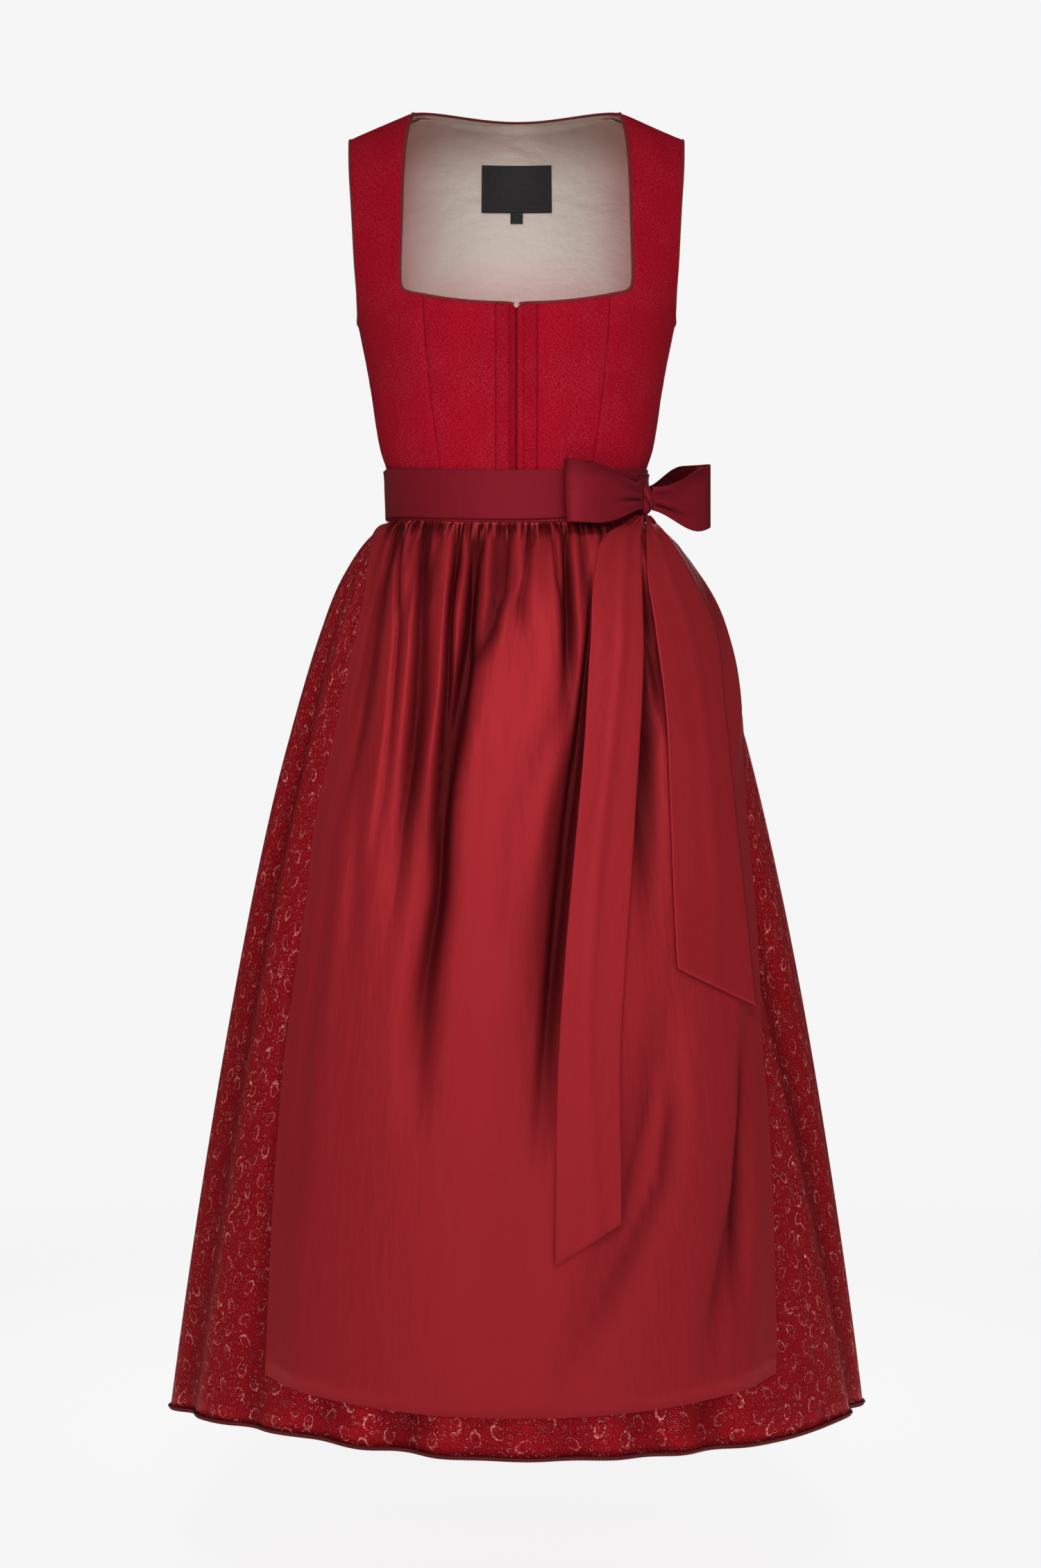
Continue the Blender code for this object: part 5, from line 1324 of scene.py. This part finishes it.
def placket_stitches(side):
    """The two stitched lines beside the front opening."""
    for number, across in enumerate(PLACKET_STITCHES):
        height = np.linspace(WAIST_SEAM + 0.003, neck_front_height(across) - 0.002, 200)
        angle = side * figure_angle(np.full(200, across), height)
        name = f"placket_stitches_{hand(side)}_{number + 1}"
        stitches(name, angle, height, BODICE_CLOTH / 2 - 0.00025, 0.0022, "wool")


def band_stitches():
    """The two stitched rows along the lower edge of the apron's band."""
    angle = np.linspace(-BAND_REACH + 1, BAND_REACH - 1, 400)
    for number, rise in enumerate(BAND_STITCHES):
        stitches(f"band_stitches_{number + 1}", angle, np.full(400, BAND_BOTTOM + rise),
                 BAND_LIFT + BAND_CLOTH / 2 + 0.0001, 0.0020, "thread")


# Sizes, colours and operators

def length_property(name, description, default, least, most, precision=4):
    return bpy.props.FloatProperty(name=name, description=description, default=default, min=least,
                                   max=most, unit="LENGTH", precision=precision)


def colour_property(name, description, colour):
    return bpy.props.FloatVectorProperty(name=name, description=description, subtype="COLOR", size=3,
                                         min=0.0, max=1.0, default=colour)


class DirndlSizes(bpy.types.PropertyGroup):
    """The sizes that a user would change."""
    cord_ply: length_property("Cord ply", "Radius of each of the edge cord's two plies",
                              0.00095, 0.0005, 0.0015, 5)
    cord_pitch: length_property("Cord twist", "Length of one whole turn of the edge cord",
                                0.0045, 0.002, 0.02)
    skirt_gather: length_property("Skirt gathers", "Depth of the skirt's gathers below the band",
                                  0.0038, 0.0, 0.006)
    apron_gather: length_property("Apron gathers", "Depth of the apron's gathers below the band",
                                  0.0062, 0.0, 0.008)


class DirndlColours(bpy.types.PropertyGroup):
    """The colours of the dress's cloths."""
    wool: colour_property("Wool", "Wool of the bodice", (0.365, 0.0017, 0.0135))
    jacquard: colour_property("Skirt ground", "Ground of the skirt's jacquard", (0.370, 0.0080, 0.0160))
    satin: colour_property("Apron satin", "Satin of the apron and the bow's ends", (0.323, 0.0180, 0.0245))
    band: colour_property("Band satin", "Satin of the band, the tie and the bow's loops",
                          (0.188, 0.0088, 0.0178))
    lining: colour_property("Lining", "Satin of the lining", (0.740, 0.640, 0.565))
    cord: colour_property("Cord", "Twisted cord round the edges", (0.130, 0.0060, 0.010))
    label: colour_property("Label", "Bare woven label", (0.010, 0.009, 0.009))


class DIRNDL_OT_bodice(bpy.types.Operator):
    """Makes the seven wool panels of the bodice"""
    bl_idname = "dirndl.bodice"
    bl_label = "Bodice"

    def execute(self, context):
        for side in (1, -1):
            front_panel(side)
            side_front_panel(side)
            side_back_panel(side)
        back_panel()
        return {"FINISHED"}


class DIRNDL_OT_lining(bpy.types.Operator):
    """Makes the back lining and its two bare labels"""
    bl_idname = "dirndl.lining"
    bl_label = "Lining and labels"

    def execute(self, context):
        back_lining()
        woven_label("woven_label", "label", LABEL_WIDTH / 2, LABEL_TOP, LABEL_BOTTOM)
        tab_top = LABEL_BOTTOM - SEAM_GAP
        woven_label("woven_tab", "size_tab", TAB_WIDTH / 2, tab_top, tab_top - TAB_LENGTH)
        return {"FINISHED"}


class DIRNDL_OT_cords(bpy.types.Operator):
    """Makes the twisted cords round the neckline, the armholes and the hem"""
    bl_idname = "dirndl.cords"
    bl_label = "Edge cords"

    def execute(self, context):
        sizes = context.scene.dirndl_sizes
        neck_cord(sizes)
        armhole_cord(1, sizes)
        armhole_cord(-1, sizes)
        hem_cord(sizes)
        return {"FINISHED"}


class DIRNDL_OT_skirt(bpy.types.Operator):
    """Makes the three gathered lengths of the jacquard skirt"""
    bl_idname = "dirndl.skirt"
    bl_label = "Skirt"

    def execute(self, context):
        sizes, edge = context.scene.dirndl_sizes, SKIRT_FRONT_EDGE
        for name, node, start, end, count, columns, area, seed in (
                ("skirt_front_length", "skirt_front", -edge, edge, FRONT_GATHERS, 200, 0.475, 51),
                ("skirt_left_length", "skirt_back_left", edge, 180.0, BACK_GATHERS, 250, 0.50, 53),
                ("skirt_right_length", "skirt_back_right", 180.0, 360.0 - edge, BACK_GATHERS, 250, 0.50, 55)):
            skirt_panel(name, node, start, end, count, columns, sizes, seed)
        return {"FINISHED"}


class DIRNDL_OT_apron(bpy.types.Operator):
    """Makes the gathered satin apron"""
    bl_idname = "dirndl.apron"
    bl_label = "Apron"

    def execute(self, context):
        apron_skirt(context.scene.dirndl_sizes)
        return {"FINISHED"}


class DIRNDL_OT_waist(bpy.types.Operator):
    """Makes the apron's band and the tie wrapped round it"""
    bl_idname = "dirndl.waist"
    bl_label = "Band and tie"

    def execute(self, context):
        waistband()
        tie()
        return {"FINISHED"}


class DIRNDL_OT_bow(bpy.types.Operator):
    """Makes the bow: its knot, two loops and two hanging ends"""
    bl_idname = "dirndl.bow"
    bl_label = "Bow"

    def execute(self, context):
        bow_knot()
        front_loop()
        side_loop()
        hanging_end("end_long", "bow_end_long", LONG_END, LONG_END_CUT, 81)
        hanging_end("end_short", "bow_end_short", SHORT_END, SHORT_END_CUT, 83)
        return {"FINISHED"}


class DIRNDL_OT_stitching(bpy.types.Operator):
    """Makes the stitched lines of the placket and the band"""
    bl_idname = "dirndl.stitching"
    bl_label = "Stitching"

    def execute(self, context):
        placket_stitches(1)
        placket_stitches(-1)
        band_stitches()
        return {"FINISHED"}


def softbox(name, place, aim, width, height, power, spread):
    """A large soft light that faces a height on the dress's middle line."""
    data = bpy.data.lights.new(name, "AREA")
    data.shape = "RECTANGLE"
    data.size, data.size_y, data.energy, data.spread = width, height, power, math.radians(spread)
    light = bpy.data.objects.new(name, data)
    light.location = place
    light.visible_camera = False
    light.rotation_euler = (Vector((0, 0, aim)) - Vector(place)).to_track_quat("-Z", "Y").to_euler()
    bpy.context.scene.collection.objects.link(light)


def floor_paper():
    """Pale paper that fades out towards the rim of the floor."""
    made = bpy.data.materials.new("floor_paper")
    made.use_nodes = True
    tree = made.node_tree
    shader = tree.nodes["Principled BSDF"]
    constants(shader, Base_Color=(0.30, 0.30, 0.30, 1.0), Roughness=1.0, Specular_IOR_Level=0.0,
              Emission_Color=(1.0, 1.0, 1.0, 1.0), Emission_Strength=FLOOR_GLOW)
    scaled = node(tree, "Mapping", node(tree, "TexCoord").outputs["Object"],
                  (0.0, 0.0, -FLOOR / FLOOR_RADIUS), (0.0, 0.0, 0.0), (1 / FLOOR_RADIUS,) * 3).outputs[0]
    rim = node(tree, "TexGradient", scaled, gradient_type="SPHERICAL").outputs["Fac"]
    fade = node(tree, "MapRange", rim, 0.0, FLOOR_FADE, interpolation_type="SMOOTHSTEP").outputs["Result"]
    clear = node(tree, "BsdfTransparent").outputs[0]
    both = node(tree, "MixShader", fade, clear, shader.outputs[0])
    feed(tree, tree.nodes["Material Output"].inputs["Surface"], both.outputs[0])
    return made


def studio_world():
    """A pale background that gives the dress only part of its light."""
    made = bpy.data.worlds.new("studio")
    made.use_nodes = True
    tree = made.node_tree
    seen = tree.nodes["Background"]
    constants(seen, Color=(0.92, 0.92, 0.92, 1))
    cast = node(tree, "Background", (1.0, 0.99, 0.98, 1), WORLD_LIGHT).outputs[0]
    camera_ray = node(tree, "LightPath").outputs["Is Camera Ray"]
    both = node(tree, "MixShader", camera_ray, cast, seen.outputs[0])
    feed(tree, tree.nodes["World Output"].inputs["Surface"], both.outputs[0])
    return made


class DIRNDL_OT_stage(bpy.types.Operator):
    """Makes the floor, the soft lights and the camera"""
    bl_idname = "dirndl.stage"
    bl_label = "Stage"

    def execute(self, context):
        scene = context.scene
        bpy.ops.object.select_all(action="DESELECT")
        bpy.ops.mesh.primitive_circle_add(vertices=96, radius=FLOOR_RADIUS, fill_type="NGON",
                                          location=(0, 0, FLOOR))
        floor = context.object
        floor.name = "floor"
        bpy.ops.object.transform_apply(location=True, rotation=True, scale=True)
        floor.data.materials.append(floor_paper())
        for name, light in LIGHTS.items():
            softbox(name, *light)
        scene.world = studio_world()
        scene.view_settings.view_transform = "Standard"
        data = bpy.data.cameras.new("camera")
        data.lens = CAMERA_LENS
        camera = bpy.data.objects.new("camera", data)
        camera.location = CAMERA_PLACE
        camera.rotation_euler = (math.pi / 2, 0.0, 0.0)
        scene.collection.objects.link(camera)
        scene.camera = camera
        return {"FINISHED"}


class DIRNDL_PT_panel(bpy.types.Panel):
    """Lists the dress's sizes, colours and pieces"""
    bl_label = "Dirndl"
    bl_idname = "DIRNDL_PT_panel"
    bl_space_type = "VIEW_3D"
    bl_region_type = "UI"
    bl_category = "Dirndl"

    def draw(self, context):
        for group in (context.scene.dirndl_sizes, context.scene.dirndl_colours):
            for name in group.__annotations__:
                self.layout.prop(group, name)
        for operator in OPERATORS:
            self.layout.operator(operator.bl_idname)


OPERATORS = (DIRNDL_OT_bodice, DIRNDL_OT_lining, DIRNDL_OT_cords, DIRNDL_OT_skirt, DIRNDL_OT_apron,
             DIRNDL_OT_waist, DIRNDL_OT_bow, DIRNDL_OT_stitching, DIRNDL_OT_stage)
CLASSES = (DirndlSizes, DirndlColours, *OPERATORS, DIRNDL_PT_panel)


def register():
    for made in CLASSES:
        bpy.utils.register_class(made)
    bpy.types.Scene.dirndl_sizes = bpy.props.PointerProperty(type=DirndlSizes)
    bpy.types.Scene.dirndl_colours = bpy.props.PointerProperty(type=DirndlColours)


def unregister():
    del bpy.types.Scene.dirndl_colours
    del bpy.types.Scene.dirndl_sizes
    for made in reversed(CLASSES):
        bpy.utils.unregister_class(made)


def main():
    """Makes every piece in order."""
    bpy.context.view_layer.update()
    register()
    bpy.ops.dirndl.bodice()
    bpy.ops.dirndl.lining()
    bpy.ops.dirndl.cords()
    bpy.ops.dirndl.skirt()
    bpy.ops.dirndl.apron()
    bpy.ops.dirndl.waist()
    bpy.ops.dirndl.bow()
    bpy.ops.dirndl.stitching()
    bpy.ops.dirndl.stage()


if __name__ == "__main__":
    main()
